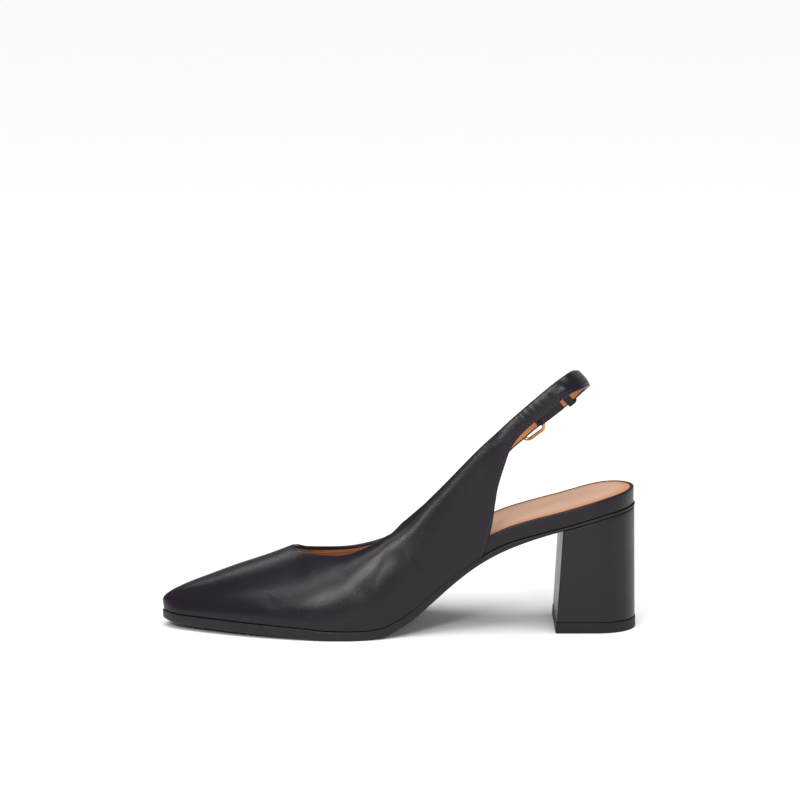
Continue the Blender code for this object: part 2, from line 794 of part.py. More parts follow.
def make_keeper(collection):
    """A narrow leather band round sling and billet."""
    centre, along, up, out = (value[0] for value in strap_frame([KEEPER_PLACE]))
    low, high = strap_edges([KEEPER_PLACE])
    tall = float(np.dot((high - low)[0], up)) + 2 * KEEPER_ROOM + KEEPER_WALL
    deep = 2 * STRAP_WALL + CLEARANCE + 2 * KEEPER_ROOM + KEEPER_WALL
    plan = rounded_loop(deep, tall, KEEPER_CORNER, CORNER_STEPS - 1)
    middle = centre + out * (CLEARANCE / 2)
    points = middle + plan[:, :1] * out + plan[:, 1:] * up
    tangent = np.roll(points, -1, axis=0) - np.roll(points, 1, axis=0)
    tangent /= np.linalg.norm(tangent, axis=1)[:, None]
    normal = np.cross(tangent, along)
    corners = np.array([(1, 1), (1, -1), (-1, -1), (-1, 1)]) * 0.5
    grid = (points[:, None] + corners[None, :, :1] * KEEPER_WALL * normal[:, None]
            + corners[None, :, 1:] * KEEPER_WIDTH * along)
    return closed_grid("keeper_loop", collection, grid)


def heel_solid(name, collection, low, high, lip):
    """A slice of the heel's taper from one level to another, or up to the seat."""
    back = HEEL_TIP_LENGTH - HEEL_FLAT_SIDE
    straight = np.linspace(-HEEL_FLAT_SIDE, 0, HEEL_LEVELS + 1)[:-1]
    angle = np.linspace(0, math.pi / 2 - NOSE_ANGLE, HEEL_STEPS + 1)
    foot_x = np.concatenate([straight, back * np.sin(angle)])
    shape = np.concatenate([np.ones(len(straight)), np.cos(angle) ** HEEL_BACK_CURVE])
    foot_y = shape * HEEL_TIP_WIDTH / 2
    lean = HEEL_BREAST_LEAN * np.clip(-foot_x / HEEL_FLAT_SIDE, 0, 1)
    stretch = np.where(foot_x > 0, (HEEL_CENTRE - CLEARANCE) / back, 1.0)
    seat_x = (foot_x + lean) * stretch
    angles = turn(place_of(seat_x))
    inset = np.full(len(angles), CLEARANCE)
    inner = -edge_points(angles, -1, inset)[:, 1]
    outer = edge_points(angles, 1, inset)[:, 1]
    foot_x = foot_x + lip * np.sign(foot_x)
    foot_y = foot_y + lip
    seat = sole_bottom(place_of(seat_x)) - CLEARANCE
    ceiling = seat if high is None else np.full(len(foot_x), high)
    left, right = [], []
    for level in np.linspace(0, 1, HEEL_LEVELS + 1):
        z = low + (ceiling - low) * level
        share = z / seat
        x = foot_x + (seat_x - foot_x) * share
        left.append(np.column_stack([x, -(foot_y + (inner - foot_y) * share), z]))
        right.append(np.column_stack([x, foot_y + (outer - foot_y) * share, z]))
    columns = np.linspace(0, 1, ACROSS_STEPS + 1)[1:-1]
    top = [left[-1] + (right[-1] - left[-1]) * share for share in columns]
    base = [right[0] + (left[0] - right[0]) * share for share in columns]
    rings = np.stack(left + top + right[::-1] + base, axis=1)
    obj = mesh_object(name, rings.reshape(-1, 3), ring_faces(*rings.shape[:2]), collection)
    return outward(obj)


def build():
    for obj in list(bpy.data.objects):
        bpy.data.objects.remove(obj)
    pump = bpy.data.collections.new("slingback_pump")
    cutters = bpy.data.collections.new("cutters")
    bpy.context.scene.collection.children.link(pump)
    bpy.context.scene.collection.children.link(cutters)
    black = leather("black_leather", (0.016, 0.014, 0.018), 0.42)
    sole_black = leather("sole_edge", (0.012, 0.011, 0.012), 0.55)
    tan = leather("tan_leather", (0.47, 0.24, 0.12), 0.60)
    gold = leather("gold_metal", (0.80, 0.52, 0.24), 0.28, 1.0)
    rim = leather("rim_leather", (0.016, 0.014, 0.018), 0.42)
    heel = leather("heel_cover", (0.018, 0.017, 0.020), 0.38)
    tip = leather("tip_rubber", (0.011, 0.011, 0.012), 0.60)
    dressed = (
        (make_outsole(pump), sole_black),
        (make_insole(pump), rim),
        (make_sock(pump), tan),
        (make_upper(pump), black),
        (heel_solid("heel_block", pump, TIP_THICKNESS, None, 0.0), heel),
        (heel_solid("top_lift", pump, 0.0, TIP_THICKNESS - CLEARANCE, TIP_LIP), tip),
        (make_sling(pump), black),
        (make_billet(pump, cutters), black),
        (make_keeper(pump), black),
        (make_buckle(pump), gold),
        (make_prong(pump), gold),
    )
    for obj, material in dressed:
        obj.data.materials.append(material)


build()
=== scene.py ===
import math

import bmesh
import bpy
import numpy as np
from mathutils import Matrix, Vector


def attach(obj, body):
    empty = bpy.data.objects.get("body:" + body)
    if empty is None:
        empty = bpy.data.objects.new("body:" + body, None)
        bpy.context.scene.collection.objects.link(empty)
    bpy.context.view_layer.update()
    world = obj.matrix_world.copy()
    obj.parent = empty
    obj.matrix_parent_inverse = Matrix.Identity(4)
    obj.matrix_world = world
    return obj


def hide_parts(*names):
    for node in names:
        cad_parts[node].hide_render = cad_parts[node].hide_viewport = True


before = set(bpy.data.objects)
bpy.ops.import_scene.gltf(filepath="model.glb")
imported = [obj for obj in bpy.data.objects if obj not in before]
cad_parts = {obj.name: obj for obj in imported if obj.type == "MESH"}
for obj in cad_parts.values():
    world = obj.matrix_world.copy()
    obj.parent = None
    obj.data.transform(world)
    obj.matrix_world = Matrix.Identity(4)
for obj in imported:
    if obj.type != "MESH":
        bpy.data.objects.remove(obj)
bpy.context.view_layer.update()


# Camera, floor and lights.
# A product table: a pale floor without an edge under an even white ceiling, with soft boxes in
# front on both sides and a weak one behind the toe. The camera looks at the shoe's inner side.

CAMERA_PLACE = (-0.1040, -1.738746, 0.434682)
CAMERA_PITCH = math.radians(10.2)
CAMERA_LENS = 150.0
FLOOR_REACH = 30.0
FLOOR_WHITE = (0.92, 0.92, 0.92, 1)
SKY_STRENGTH = 0.30
CEILING_SPREAD = math.radians(50)


def show(thing):
    bpy.context.scene.collection.objects.link(thing)
    return thing


def dial(node, values):
    """Sets values on a node's own sockets."""
    for name, value in values.items():
        node.inputs[name].default_value = value
    return node


def hang(name, kind, power, towards, place=(0, 0, 0)):
    """A light at a place, turned to shine along a direction."""
    data = bpy.data.lights.new(name, kind)
    data.energy = power
    lamp = show(bpy.data.objects.new(name, data))
    lamp.location = place
    lamp.rotation_euler = Vector(towards).to_track_quat("-Z", "Y").to_euler()
    return data


def soft_box(name, place, aim, width, height, power):
    """A rectangular area light at a place, turned to its aim."""
    data = hang(name, "AREA", power, Vector(aim) - Vector(place), place)
    data.shape = "RECTANGLE"
    data.size = width
    data.size_y = height


camera_data = bpy.data.cameras.new("camera")
camera_data.lens = CAMERA_LENS
camera_data.clip_end = 100.0
camera = show(bpy.data.objects.new("camera", camera_data))
camera.location = CAMERA_PLACE
camera.rotation_euler = (math.pi / 2 - CAMERA_PITCH, 0, 0)
bpy.context.scene.camera = camera
bpy.context.scene.view_settings.view_transform = "Standard"

floor_mesh = bpy.data.meshes.new("floor")
floor_corners = np.array([(-1, -1, 0), (1, -1, 0), (1, 1, 0), (-1, 1, 0)]) * FLOOR_REACH
floor_mesh.from_pydata(floor_corners.tolist(), [], [(0, 1, 2, 3)])
floor = show(bpy.data.objects.new("floor", floor_mesh))
floor_paint = bpy.data.materials.new("floor_paint")
floor_paint.use_nodes = True
dial(floor_paint.node_tree.nodes["Principled BSDF"],
     {"Base Color": FLOOR_WHITE, "Roughness": 0.9, "Specular IOR Level": 0.1})
floor_mesh.materials.append(floor_paint)

world = bpy.data.worlds.new("studio")
world.use_nodes = True
dial(world.node_tree.nodes["Background"], {"Color": (1, 1, 1, 1), "Strength": SKY_STRENGTH})
bpy.context.scene.world = world

hang("ceiling", "SUN", 2.5, (-0.12, 0.26, -1.0)).angle = CEILING_SPREAD
soft_box("key", (-0.50, -1.26, 0.76), (-0.12, 0, 0.04), 0.32, 0.22, 6.5)
soft_box("high_key", (-0.78, -0.78, 1.08), (-0.12, 0, 0.04), 0.32, 0.30, 2.6)
soft_box("strap_light", (0.25, -2.00, 0.75), (-0.02, 0, 0.13), 0.36, 0.20, 9.0)
soft_box("ridge_light", (-0.60, 0.55, 0.90), (-0.20, 0, 0.03), 0.35, 0.25, 1.2)


# Outsole.
# A thin black unit sole with a satin edge, cemented under the upper. It is thickest at the
# ball, thins through the waist and runs on under the seat to the back of the heel.

LAST_LENGTH = 0.2522
BALL_WIDTH = 0.0785
SEAT_WIDTH = 0.0528
HEEL_HEIGHT = 0.0656
TOE_SPRING = 0.0043
HEEL_CENTRE = 0.0212
SOLE_THICKNESS = 0.0054
CLEARANCE = 0.0003

# place along the last from 0 at the toe to 1 at the back, inner and outer half width as
# shares of the width there
OUTLINE = (
    (0.0, 0.025, -0.025), (0.006, 0.079, 0.026), (0.016, 0.12, 0.065), (0.036, 0.172, 0.118),
    (0.071, 0.232, 0.176), (0.111, 0.293, 0.242), (0.17, 0.369, 0.326), (0.23, 0.431, 0.395),
    (0.29, 0.475, 0.445), (0.341, 0.499, 0.478), (0.389, 0.503, 0.497), (0.44, 0.478, 0.5),
    (0.5, 0.432, 0.497), (0.559, 0.418, 0.507), (0.619, 0.438, 0.53), (0.686, 0.479, 0.543),
    (0.757, 0.485, 0.511), (0.837, 0.5, 0.504), (0.896, 0.496, 0.496), (0.94, 0.439, 0.439),
    (0.971, 0.333, 0.333), (0.991, 0.189, 0.189), (1.0, 0.0, 0.0),
)

# place, share of the toe spring, share of the heel height
PROFILE = (
    (0.0, 1.0, 0.0), (0.04, 0.68, 0.0), (0.12, 0.56, 0.0), (0.2, 0.44, 0.0), (0.29, 0.22, 0.0),
    (0.36, 0.0, 0.0), (0.43, 0.0, 0.0), (0.465, 0.0, 0.015), (0.5, 0.0, 0.069), (0.53, 0.0, 0.138),
    (0.57, 0.0, 0.267), (0.62, 0.0, 0.433), (0.67, 0.0, 0.578), (0.72, 0.0, 0.686),
    (0.79, 0.0, 0.793), (0.87, 0.0, 0.886), (0.94, 0.0, 0.96), (1.0, 0.0, 1.0),
)

# place, share of the sole's thickness
SOLE_EDGE = (
    (0.0, 0.8), (0.03, 0.93), (0.1, 1.0), (0.3, 0.98), (0.39, 0.9), (0.56, 1.02), (0.61, 0.91),
    (0.67, 0.71), (0.73, 0.58), (0.79, 0.38), (0.84, 0.28), (1.0, 0.28),
)


def steady(table, places):
    """Cubic pieces between a table's rows, with each slope the harmonic mean beside a row."""
    rows = np.array(table)
    knots = rows[:, 0]
    step = np.diff(knots)[:, None]
    slope = np.diff(rows[:, 1:], axis=0) / step
    same = slope[:-1] * slope[1:] > 0
    first = 2 * step[1:] + step[:-1]
    second = step[1:] + 2 * step[:-1]
    safe = np.where(same, slope[:-1] * slope[1:], 1.0)
    mean = (first + second) * safe / (first * slope[1:] + second * slope[:-1] + (~same))
    tangent = np.vstack([slope[:1], np.where(same, mean, 0.0), slope[-1:]])
    at = np.clip(np.atleast_1d(places), knots[0], knots[-1])
    i = np.clip(np.searchsorted(knots, at) - 1, 0, len(step) - 1)
    h = step[i]
    t = ((at - knots[i])[:, None]) / h
    low, high = rows[i, 1:], rows[i + 1, 1:]
    return ((1 + 2 * t) * (1 - t) ** 2 * low + t * (1 - t) ** 2 * h * tangent[i]
            + t * t * (3 - 2 * t) * high + t * t * (t - 1) * h * tangent[i + 1])


def eased(start, end, share):
    """start + (end - start) times 3s^2 - 2s^3, with the share s held between 0 and 1."""
    share = np.clip(share, 0.0, 1.0)
    return start + (end - start) * share * share * (3 - 2 * share)


def turn(place):
    """arccos(1 - 2 place), an angle that runs evenly round both ends of the last."""
    return np.arccos(np.clip(1 - 2 * np.asarray(place), -1, 1))


def over_turn(table):
    """The table with its places as those angles."""
    rows = np.array(table)
    rows[:, 0] = turn(rows[:, 0])
    return rows


def place_of(x):
    return (np.asarray(x) - HEEL_CENTRE) / LAST_LENGTH + 1


def x_of(place):
    return HEEL_CENTRE + (np.asarray(place) - 1) * LAST_LENGTH


def width_at(place):
    return eased(BALL_WIDTH, SEAT_WIDTH, (np.asarray(place) - 0.45) / 0.25)


def sole_bottom(place):
    """Toe spring share plus heel height share, read from the profile."""
    shares = steady(PROFILE, place)
    return TOE_SPRING * shares[:, 0] + HEEL_HEIGHT * shares[:, 1]


def sole_top(place):
    return sole_bottom(place) + SOLE_THICKNESS * steady(SOLE_EDGE, place)[:, 0]


def outline(angles, side):
    """Plan points of the outline on one side, -1 inner and 1 outer, by their angles."""
    place = (1 - np.cos(angles)) / 2
    half = steady(over_turn(OUTLINE), angles)[:, 0 if side < 0 else 1] * width_at(place)
    return np.stack([x_of(place), side * half], axis=1)


def unit(vectors):
    """Vectors of the last axis, each divided by its length."""
    return vectors / np.linalg.norm(vectors, axis=-1, keepdims=True)


def edge_points(angles, side, inset):
    """The outline on one side, moved along its own normal by the inset."""
    small = 1e-4
    along = unit(outline(np.clip(angles + small, 0, math.pi), side)
                 - outline(np.clip(angles - small, 0, math.pi), side))
    inward = np.stack([side * along[:, 1], -side * along[:, 0]], axis=1)
    return outline(angles, side) + inward * np.reshape(inset, (-1, 1))


def into(loop):
    """Inward unit normals of a closed plan loop that runs anticlockwise."""
    along = unit(np.roll(loop, -1, axis=0) - np.roll(loop, 1, axis=0))
    return np.column_stack([-along[:, 1], along[:, 0]])


def grid_faces(rows, columns, start=0, closed=False):
    """Quads between the neighbours of a grid, whose columns close into rings where asked."""
    row = np.arange(rows - 1)[:, None] * columns
    column = np.arange(columns if closed else columns - 1)[None, :]
    after = (column + 1) % columns
    quads = [row + column, row + columns + column, row + columns + after, row + after]
    return np.stack(quads, axis=-1).reshape(-1, 4) + start


def mesh_object(name, vertices, faces, merge=0.0):
    """A smooth mesh from whole arrays, with its doubles merged where asked."""
    mesh = bpy.data.meshes.new(name)
    mesh.from_pydata(np.asarray(vertices).tolist(), [], np.asarray(faces).tolist())
    if merge:
        bm = bmesh.new()
        bm.from_mesh(mesh)
        bmesh.ops.remove_doubles(bm, verts=bm.verts, dist=merge)
        bm.to_mesh(mesh)
        bm.free()
    mesh.shade_smooth()
    return show(bpy.data.objects.new(name, mesh))


def outward(obj):
    """Recalculates the normals of a closed mesh, and turns them all if its volume is negative."""
    bm = bmesh.new()
    bm.from_mesh(obj.data)
    bmesh.ops.recalc_face_normals(bm, faces=bm.faces)
    if bm.calc_volume(signed=True) < 0:
        bmesh.ops.reverse_faces(bm, faces=bm.faces)
    bm.to_mesh(obj.data)
    bm.free()
    return obj


def closed_solid(name, rings, left, right, columns=24, crown=0.0):
    """A stack of rings from the bottom up, with a grid across each end.

    Left and right number the ring's points that face each other. The top's grid rises by the
    crown times 1 - (2s - 1)^2, where s is the share of the way across.
    """
    share = np.linspace(0, 1, columns + 1)[None, :, None]
    lid = rings[-1][left][:, None] * (1 - share) + rings[-1][right][:, None] * share
    base = rings[0][left][:, None] * (1 - share) + rings[0][right][:, None] * share
    wide = np.linalg.norm(rings[-1][left] - rings[-1][right], axis=1)
    hump = crown * (1 - (2 * share[..., 0] - 1) ** 2) * np.clip(wide / 0.03, 0, 1)[:, None]
    lid[:, :, 2] += hump
    count, width = rings.shape[:2]
    faces = [grid_faces(count, width, closed=True)]
    faces.append(grid_faces(*lid.shape[:2], count * width))
    faces.append(grid_faces(*base.shape[:2], count * width + lid.shape[0] * lid.shape[1]))
    vertices = [block.reshape(-1, 3) for block in (rings, lid, base)]
    return outward(mesh_object(name, np.concatenate(vertices), np.concatenate(faces), merge=1e-6))


def round_edges(lower, upper, steps=6):
    """Profile of a plate's side: away from the edge, share of the height, and extra height.

    A quarter circle of the lower radius, then one of the upper radius.
    """
    angle = np.linspace(0, math.pi / 2, steps + 1)
    below = np.column_stack([lower * (1 - np.sin(angle)), 0 * angle, lower * (1 - np.cos(angle))])
    above = np.column_stack([upper * (1 - np.cos(angle)), 0 * angle + 1,
                             -upper * (1 - np.sin(angle))])
    return np.vstack([below, above])


def plate(name, inset, low, high, profile, crown=0.0, steps=260):
    """A layer of the bottom: the outline's closed loop carried up a profile of its side."""
    angles = np.linspace(0, math.pi, steps + 1)
    loop = np.vstack([outline(angles, -1), outline(angles[-2:0:-1], 1)])
    inward = into(loop)
    start = inset(place_of(loop[:, 0]))
    rings = []
    for away, share, extra in profile:
        plan = loop + inward * (start + away)[:, None]
        here = place_of(plan[:, 0])
        rings.append(np.column_stack([plan, low(here) + (high(here) - low(here)) * share + extra]))
    left = np.arange(steps + 1)
    return closed_solid(name, np.stack(rings), left, -left % (2 * steps), crown=crown)


def add_node(tree, kind, values=None, **settings):
    """A shader node with its settings and the values of its own sockets."""
    node = tree.nodes.new("ShaderNode" + kind)
    for name, value in settings.items():
        setattr(node, name, value)
    return dial(node, values or {})


def grain_group():
    """Leather grain on Object coordinates: cells for the pebbles and noise for the pores.

    Height is the cells' distance mixed with fine noise. Patch is broad noise for gloss.
    """
    group = bpy.data.node_groups.new("leather_grain", "ShaderNodeTree")
    for name, way in (("Cell Scale", "INPUT"), ("Patch Scale", "INPUT"), ("Height", "OUTPUT"),
                      ("Patch", "OUTPUT")):
        group.interface.new_socket(name, in_out=way, socket_type="NodeSocketFloat")
    link = group.links.new
    given = group.nodes.new("NodeGroupInput").outputs
    result = group.nodes.new("NodeGroupOutput").inputs
    place = add_node(group, "TexCoord").outputs["Object"]
    cells = add_node(group, "TexVoronoi", feature="SMOOTH_F1")
    pores = add_node(group, "TexNoise", {"Detail": 4.0})
    patch = add_node(group, "TexNoise", {"Detail": 3.0})
    finer = add_node(group, "Math", {1: 1.7}, operation="MULTIPLY")
    total = add_node(group, "Math", {1: 0.6}, operation="MULTIPLY_ADD")
    for node in (cells, pores, patch):
        link(place, node.inputs["Vector"])
    link(given["Cell Scale"], cells.inputs["Scale"])
    link(given["Cell Scale"], finer.inputs[0])
    link(finer.outputs[0], pores.inputs["Scale"])
    link(given["Patch Scale"], patch.inputs["Scale"])
    link(cells.outputs["Distance"], total.inputs[0])
    link(pores.outputs["Fac"], total.inputs[2])
    link(total.outputs[0], result["Height"])
    link(patch.outputs["Fac"], result["Patch"])
    return group


GRAIN = grain_group()


def finish(name, colour, roughness, grain=1500.0, depth=0.00008, patch=30.0, spread=0.08,
           metallic=0.0, shade=0.12, specular=0.5):
    """A grained finish. The patches move the roughness and darken the colour a little."""
    material = bpy.data.materials.new(name)
    material.use_nodes = True
    tree = material.node_tree
    shader = dial(tree.nodes["Principled BSDF"],
                  {"Metallic": metallic, "Specular IOR Level": specular})
    group = add_node(tree, "Group", name="grain", node_tree=GRAIN)
    dial(group, {"Cell Scale": grain, "Patch Scale": patch})
    gloss = add_node(tree, "MapRange", {"From Min": 0.2, "From Max": 0.8,
                                        "To Min": roughness - spread,
                                        "To Max": roughness + spread},
                     interpolation_type="SMOOTHSTEP")
    darker = [value * (1 - shade) for value in colour]
    tone = add_node(tree, "Mix", name="tone", data_type="RGBA")
    dial(tone, {"A": (*colour, 1), "B": (*darker, 1)})
    bump = add_node(tree, "Bump", {"Distance": depth}, name="relief")
    link = tree.links.new
    link(group.outputs["Patch"], gloss.inputs["Value"])
    link(gloss.outputs["Result"], shader.inputs["Roughness"])
    link(group.outputs["Patch"], tone.inputs["Factor"])
    link(tone.outputs["Result"], shader.inputs["Base Color"])
    link(group.outputs["Height"], bump.inputs["Height"])
    link(bump.outputs["Normal"], shader.inputs["Normal"])
    return material


def settle(piece, material, slot, *nodes):
    """The piece gets its finish, rides on the shoe and stands for its nodes."""
    piece.data.materials.append(material)
    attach(piece, "root")
    if nodes:
        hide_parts(*nodes)


sole_black = finish("sole_edge", (0.0110, 0.0076, 0.0120), 0.38, grain=900.0, depth=0.00003,
                    specular=0.28)
outsole = plate("outsole_unit", np.zeros_like, sole_bottom, sole_top, round_edges(0.0008, 0.0004))
settle(outsole, sole_black, "sole_edge", "outsole")


# Heel block and tip.
# A moulded block in a tight black leather cover, screwed on through the seat. The tip is a
# rubber piece of the same D shape, a hair wider than the heel above it.

HEEL_TIP_LENGTH = 0.0431
HEEL_TIP_WIDTH = 0.0440
HEEL_FLAT_SIDE = 0.0213
HEEL_BREAST_LEAN = 0.0031
HEEL_BACK_CURVE = 0.86
HEEL_CORNER = 0.0013
TIP_THICKNESS = 0.0060
TIP_LIP = 0.0003


def heel_slice(name, low, high, lip, low_round, high_round, columns=16):
    """The heel's taper between two heights, or up to the seat.

    Foot and seat are two D shapes with the same points. Each level lies between them by its
    share of the seat's height, and the first and last levels turn in on quarter circles.
    """
    back = HEEL_TIP_LENGTH - HEEL_FLAT_SIDE
    half = HEEL_TIP_WIDTH / 2
    front = HEEL_BREAST_LEAN - HEEL_FLAT_SIDE
    corner = np.linspace(0, math.pi / 2, 7)
    inset = HEEL_CORNER * (1 - np.cos(corner))
    drop = HEEL_CORNER * (1 - np.sin(corner))
    straight = np.linspace(0, 1, 12)[1:-1]
    curved = np.linspace(0, math.pi / 2, 48)
    foot_x = np.concatenate([inset - HEEL_FLAT_SIDE,
                             (HEEL_CORNER - HEEL_FLAT_SIDE) * (1 - straight),
                             back * np.sin(curved)])
    foot_y = np.concatenate([half - drop, half + 0 * straight,
                             half * np.cos(curved) ** HEEL_BACK_CURVE])
    seat_x = np.concatenate([front + inset, (front + HEEL_CORNER) * (1 - straight),
                             HEEL_CENTRE * np.sin(curved)])
    trim = np.concatenate([drop, 0 * straight, 0 * curved])
    angles = turn(place_of(seat_x))
    chains = []
    for side in (-1, 1):
        seat = edge_points(angles, side, np.full(len(angles), CLEARANCE))
        seat[:, 1] -= side * trim
        seat[-1, 1] = 0.0
        foot = np.column_stack([foot_x + lip * np.sign(foot_x), side * (foot_y + lip)])
        foot[-1, 1] = 0.0
        chains.append(np.hstack([foot, seat]))
    left, right = chains
    across = np.linspace(0, 1, columns + 1)[1:-1, None]
    breast = right[0] + (left[0] - right[0]) * across
    ring = np.vstack([left, right[-2::-1], breast])
    foot, seat = ring[:, :2], ring[:, 2:]
    ceiling = sole_bottom(place_of(seat[:, 0])) - CLEARANCE
    top = ceiling if high is None else np.full(len(ring), high)
    turned = np.linspace(0, math.pi / 2, 5)
    levels = [(low_round * (1 - math.sin(a)), low + low_round * (1 - math.cos(a)) + 0 * top)
              for a in turned]
    between = np.linspace(0, 1, 14)[1:-1]
    levels += [(0.0, low + low_round + (top - low - low_round - high_round) * share)
               for share in between]
    levels += [(high_round * (1 - math.cos(a)), top - high_round * (1 - math.sin(a)))
               for a in turned]
    rings = []
    for away, height in levels:
        plan = foot + (seat - foot) * (height / ceiling)[:, None]
        rings.append(np.column_stack([plan + into(plan) * away, height]))
    count = len(left)
    return closed_solid(name, np.stack(rings), np.arange(count),
                        2 * count - 2 - np.arange(count), columns)


heel_cover = finish("heel_cover", (0.0135, 0.0088, 0.0145), 0.36, grain=1600.0, depth=0.00005,
                    specular=0.26)
tip_rubber = finish("tip_rubber", (0.010, 0.0095, 0.011), 0.55, grain=700.0, depth=0.00004,
                    specular=0.25)
heel = heel_slice("heel_cover_block", TIP_THICKNESS, None, 0.0, 0.0003, 0.0007)
settle(heel, heel_cover, "heel_cover", "heel_block")
tip = heel_slice("heel_tip", 0.0, TIP_THICKNESS - CLEARANCE, TIP_LIP, 0.0004, 0.0003)
settle(tip, tip_rubber, "tip_rubber", "top_lift")


# Insole and sock.
# A padded board whose rim is wrapped in the upper's black leather at the open seat, with a small
# piped edge, round a tan leather sock. Shade from the rim is painted as a deeper tan along the
# sock's edge, so the sock is paler where it is flat.

UPPER_WALL = 0.0018
SEAT_PADDING = 0.0078
SOCK_THICKNESS = 0.0008
RIM_SHOWN = 0.0020
INSOLE_ROOM = 0.0013
PIPING_WIDTH = 0.00172
PIPING_RISE = 0.00115
SOCK_CROWN = 0.0006
# Painted shade: within this reach of its rim, the sock is coloured towards a deeper tan.
SOCK_RIM_SHADE_REACH = 0.008
SOCK_RIM_SHADE_TAN = (0.50, 0.225, 0.115, 1)

# place, share of the seat's padding
PADDING = (
    (0.0, 0.18), (0.3, 0.24), (0.45, 0.36), (0.6, 0.8), (0.69, 0.96), (0.8, 0.96), (1.0, 1.0),
)

# place, distance of the upper's foot inside the sole's edge, as a share of the wall
FOOT_INSET = (
    (0.0, 0.3), (0.36, 0.3), (0.62, -1.3), (1.0, -1.3),
)


def insole_top(place):
    return sole_top(place) + CLEARANCE + SEAT_PADDING * steady(PADDING, place)[:, 0]


def insole_inset(place):
    return UPPER_WALL * (steady(FOOT_INSET, place)[:, 0] + 1) + INSOLE_ROOM


def sock_inset(place):
    """The sock stays inside the piping, which narrows towards the pointed toe."""
    return insole_inset(place) + eased(0.0006, RIM_SHOWN, (np.asarray(place) - 0.05) / 0.3)


def piped_edge():
    """The rim's side: a small lower radius, then a half ellipse that stands over the top."""
    below = round_edges(0.0004, 0.0)[:7]
    angle = np.linspace(math.pi, 0, 17)
    over = np.column_stack([PIPING_WIDTH / 2 * (1 + np.cos(angle)), 0 * angle + 1,
                            0.0001 + PIPING_RISE * np.sin(angle)])
    return np.vstack([below, over])


def far_from(points, line, chunk=3000):
    """Distance of each point to the nearest segment of a line."""
    start, step = line[:-1], line[1:] - line[:-1]
    square = np.maximum(np.sum(step * step, axis=1), 1e-18)
    parts = []
    for i in range(0, len(points), chunk):
        away = points[i:i + chunk, None] - start[None]
        share = np.clip(np.einsum("ijk,jk->ij", away, step) / square, 0, 1)
        away -= share[:, :, None] * step[None]
        parts.append(np.sqrt(np.min(np.einsum("ijk,ijk->ij", away, away), axis=1)))
    return np.concatenate(parts)


def points_of(mesh):
    flat = np.empty(len(mesh.vertices) * 3)
    mesh.vertices.foreach_get("co", flat)
    return flat.reshape(-1, 3)


def mark(mesh, name, values):
    """Keeps a value at each vertex for a material to read."""
    mesh.attributes.new(name, "FLOAT", "POINT").data.foreach_set("value", values)


def read_mark(material, name):
    return add_node(material.node_tree, "Attribute", attribute_name=name).outputs["Fac"]


BLACK = (0.0102, 0.0065, 0.0115)
rim_leather = finish("rim_leather", BLACK, 0.32, grain=1500.0, depth=0.00008, specular=0.26)
insole = plate("insole_rim", insole_inset, lambda place: sole_top(place) + CLEARANCE, insole_top,
               piped_edge())
settle(insole, rim_leather, "black_leather", "insole")

sock_tan = finish("sock_tan", (0.55, 0.35, 0.245), 0.62, grain=1100.0, depth=0.00006, shade=0.08,
                  specular=0.3)
sock_tree = sock_tan.node_tree
# Painted shade: near its rim, the sock's colour is mixed towards the deeper tan.
sock_rim_shade = add_node(sock_tree, "Mix", data_type="RGBA")
dial(sock_rim_shade, {"B": SOCK_RIM_SHADE_TAN})
sock_tree.links.new(read_mark(sock_tan, "rim_shade"), sock_rim_shade.inputs["Factor"])
sock_tree.links.new(sock_tree.nodes["tone"].outputs["Result"], sock_rim_shade.inputs["A"])
sock_tree.links.new(sock_rim_shade.outputs["Result"],
                    sock_tree.nodes["Principled BSDF"].inputs["Base Color"])


def sock_bottom(place):
    return insole_top(place) + CLEARANCE


sock = plate("sock_leather", sock_inset, sock_bottom,
             lambda place: sock_bottom(place) + SOCK_THICKNESS, round_edges(0.0001, 0.0004),
             crown=SOCK_CROWN)
rounds = np.linspace(0, math.pi, 300)
rim_gap = sock_inset((1 - np.cos(rounds)) / 2)
sock_away = np.min([far_from(points_of(sock.data)[:, :2], edge_points(rounds, side, rim_gap))
                    for side in (-1, 1)], axis=0)
# Painted shade mark along the sock's rim: 1 at its edge, fading to 0 at the reach.
mark(sock.data, "rim_shade", eased(1.0, 0.0, sock_away / SOCK_RIM_SHADE_REACH))
settle(sock, sock_tan, "tan_leather", "sock")


# Upper with its straps.
# Vamp and quarters of smooth black calf, whose edges are turned in. The inner quarter runs on
# as the strap round the heel, and the outer one as the billet through the buckle. A lapped
# seam joins vamp and quarter on each side, and soft creases lie where the leather is bent.

INSTEP_HEIGHT = 0.0382
STRAP_HEIGHT = 0.0810
STRAP_WALL = 0.0018
TOE_STEPS = 60
ROW_STEPS = 11
SECTION_STEPS = 72
SECTION_SAMPLES = 257
BILLET_RISE = 13.9
BILLET_RISE_ROWS = 1.6
BILLET_TIP = 8.9
BUCKLE_PLACE = 13.05
BUCKLE_LENGTH = 0.0140
BUCKLE_WIRE = 0.0019
TOPLINE_PULL = 0.0014
TOPLINE_REACH = 0.0070
TURNED_SHARE = 0.28
LOWER_PULL = 0.0006
LOWER_REACH = 0.0036
GROOVE_PLACE = 0.00135
GROOVE_DEPTH = 0.00016
LAP_HEIGHT = 0.00010
THROAT_SPAN = (0.240, 0.325)
NOSE_END = 0.258
STRAIGHT_FROM, STRAIGHT_SPAN = 0.61, 0.14
LAP_TURN, LAP_FADE = 0.0007, 0.009
GROOVE_WIDTH = 0.00035
RELIEF_FADE = 0.0006
PULL_FROM, PULL_SPAN = 0.33, 0.14

# distances from an edge at which the mesh has columns
NEAR_EDGE = np.array([0, 0.04, 0.16, 0.36, 0.6, 0.9, 1.12, 1.35, 1.58, 1.85, 2.3, 2.9, 3.7,
                      4.7]) / 1000

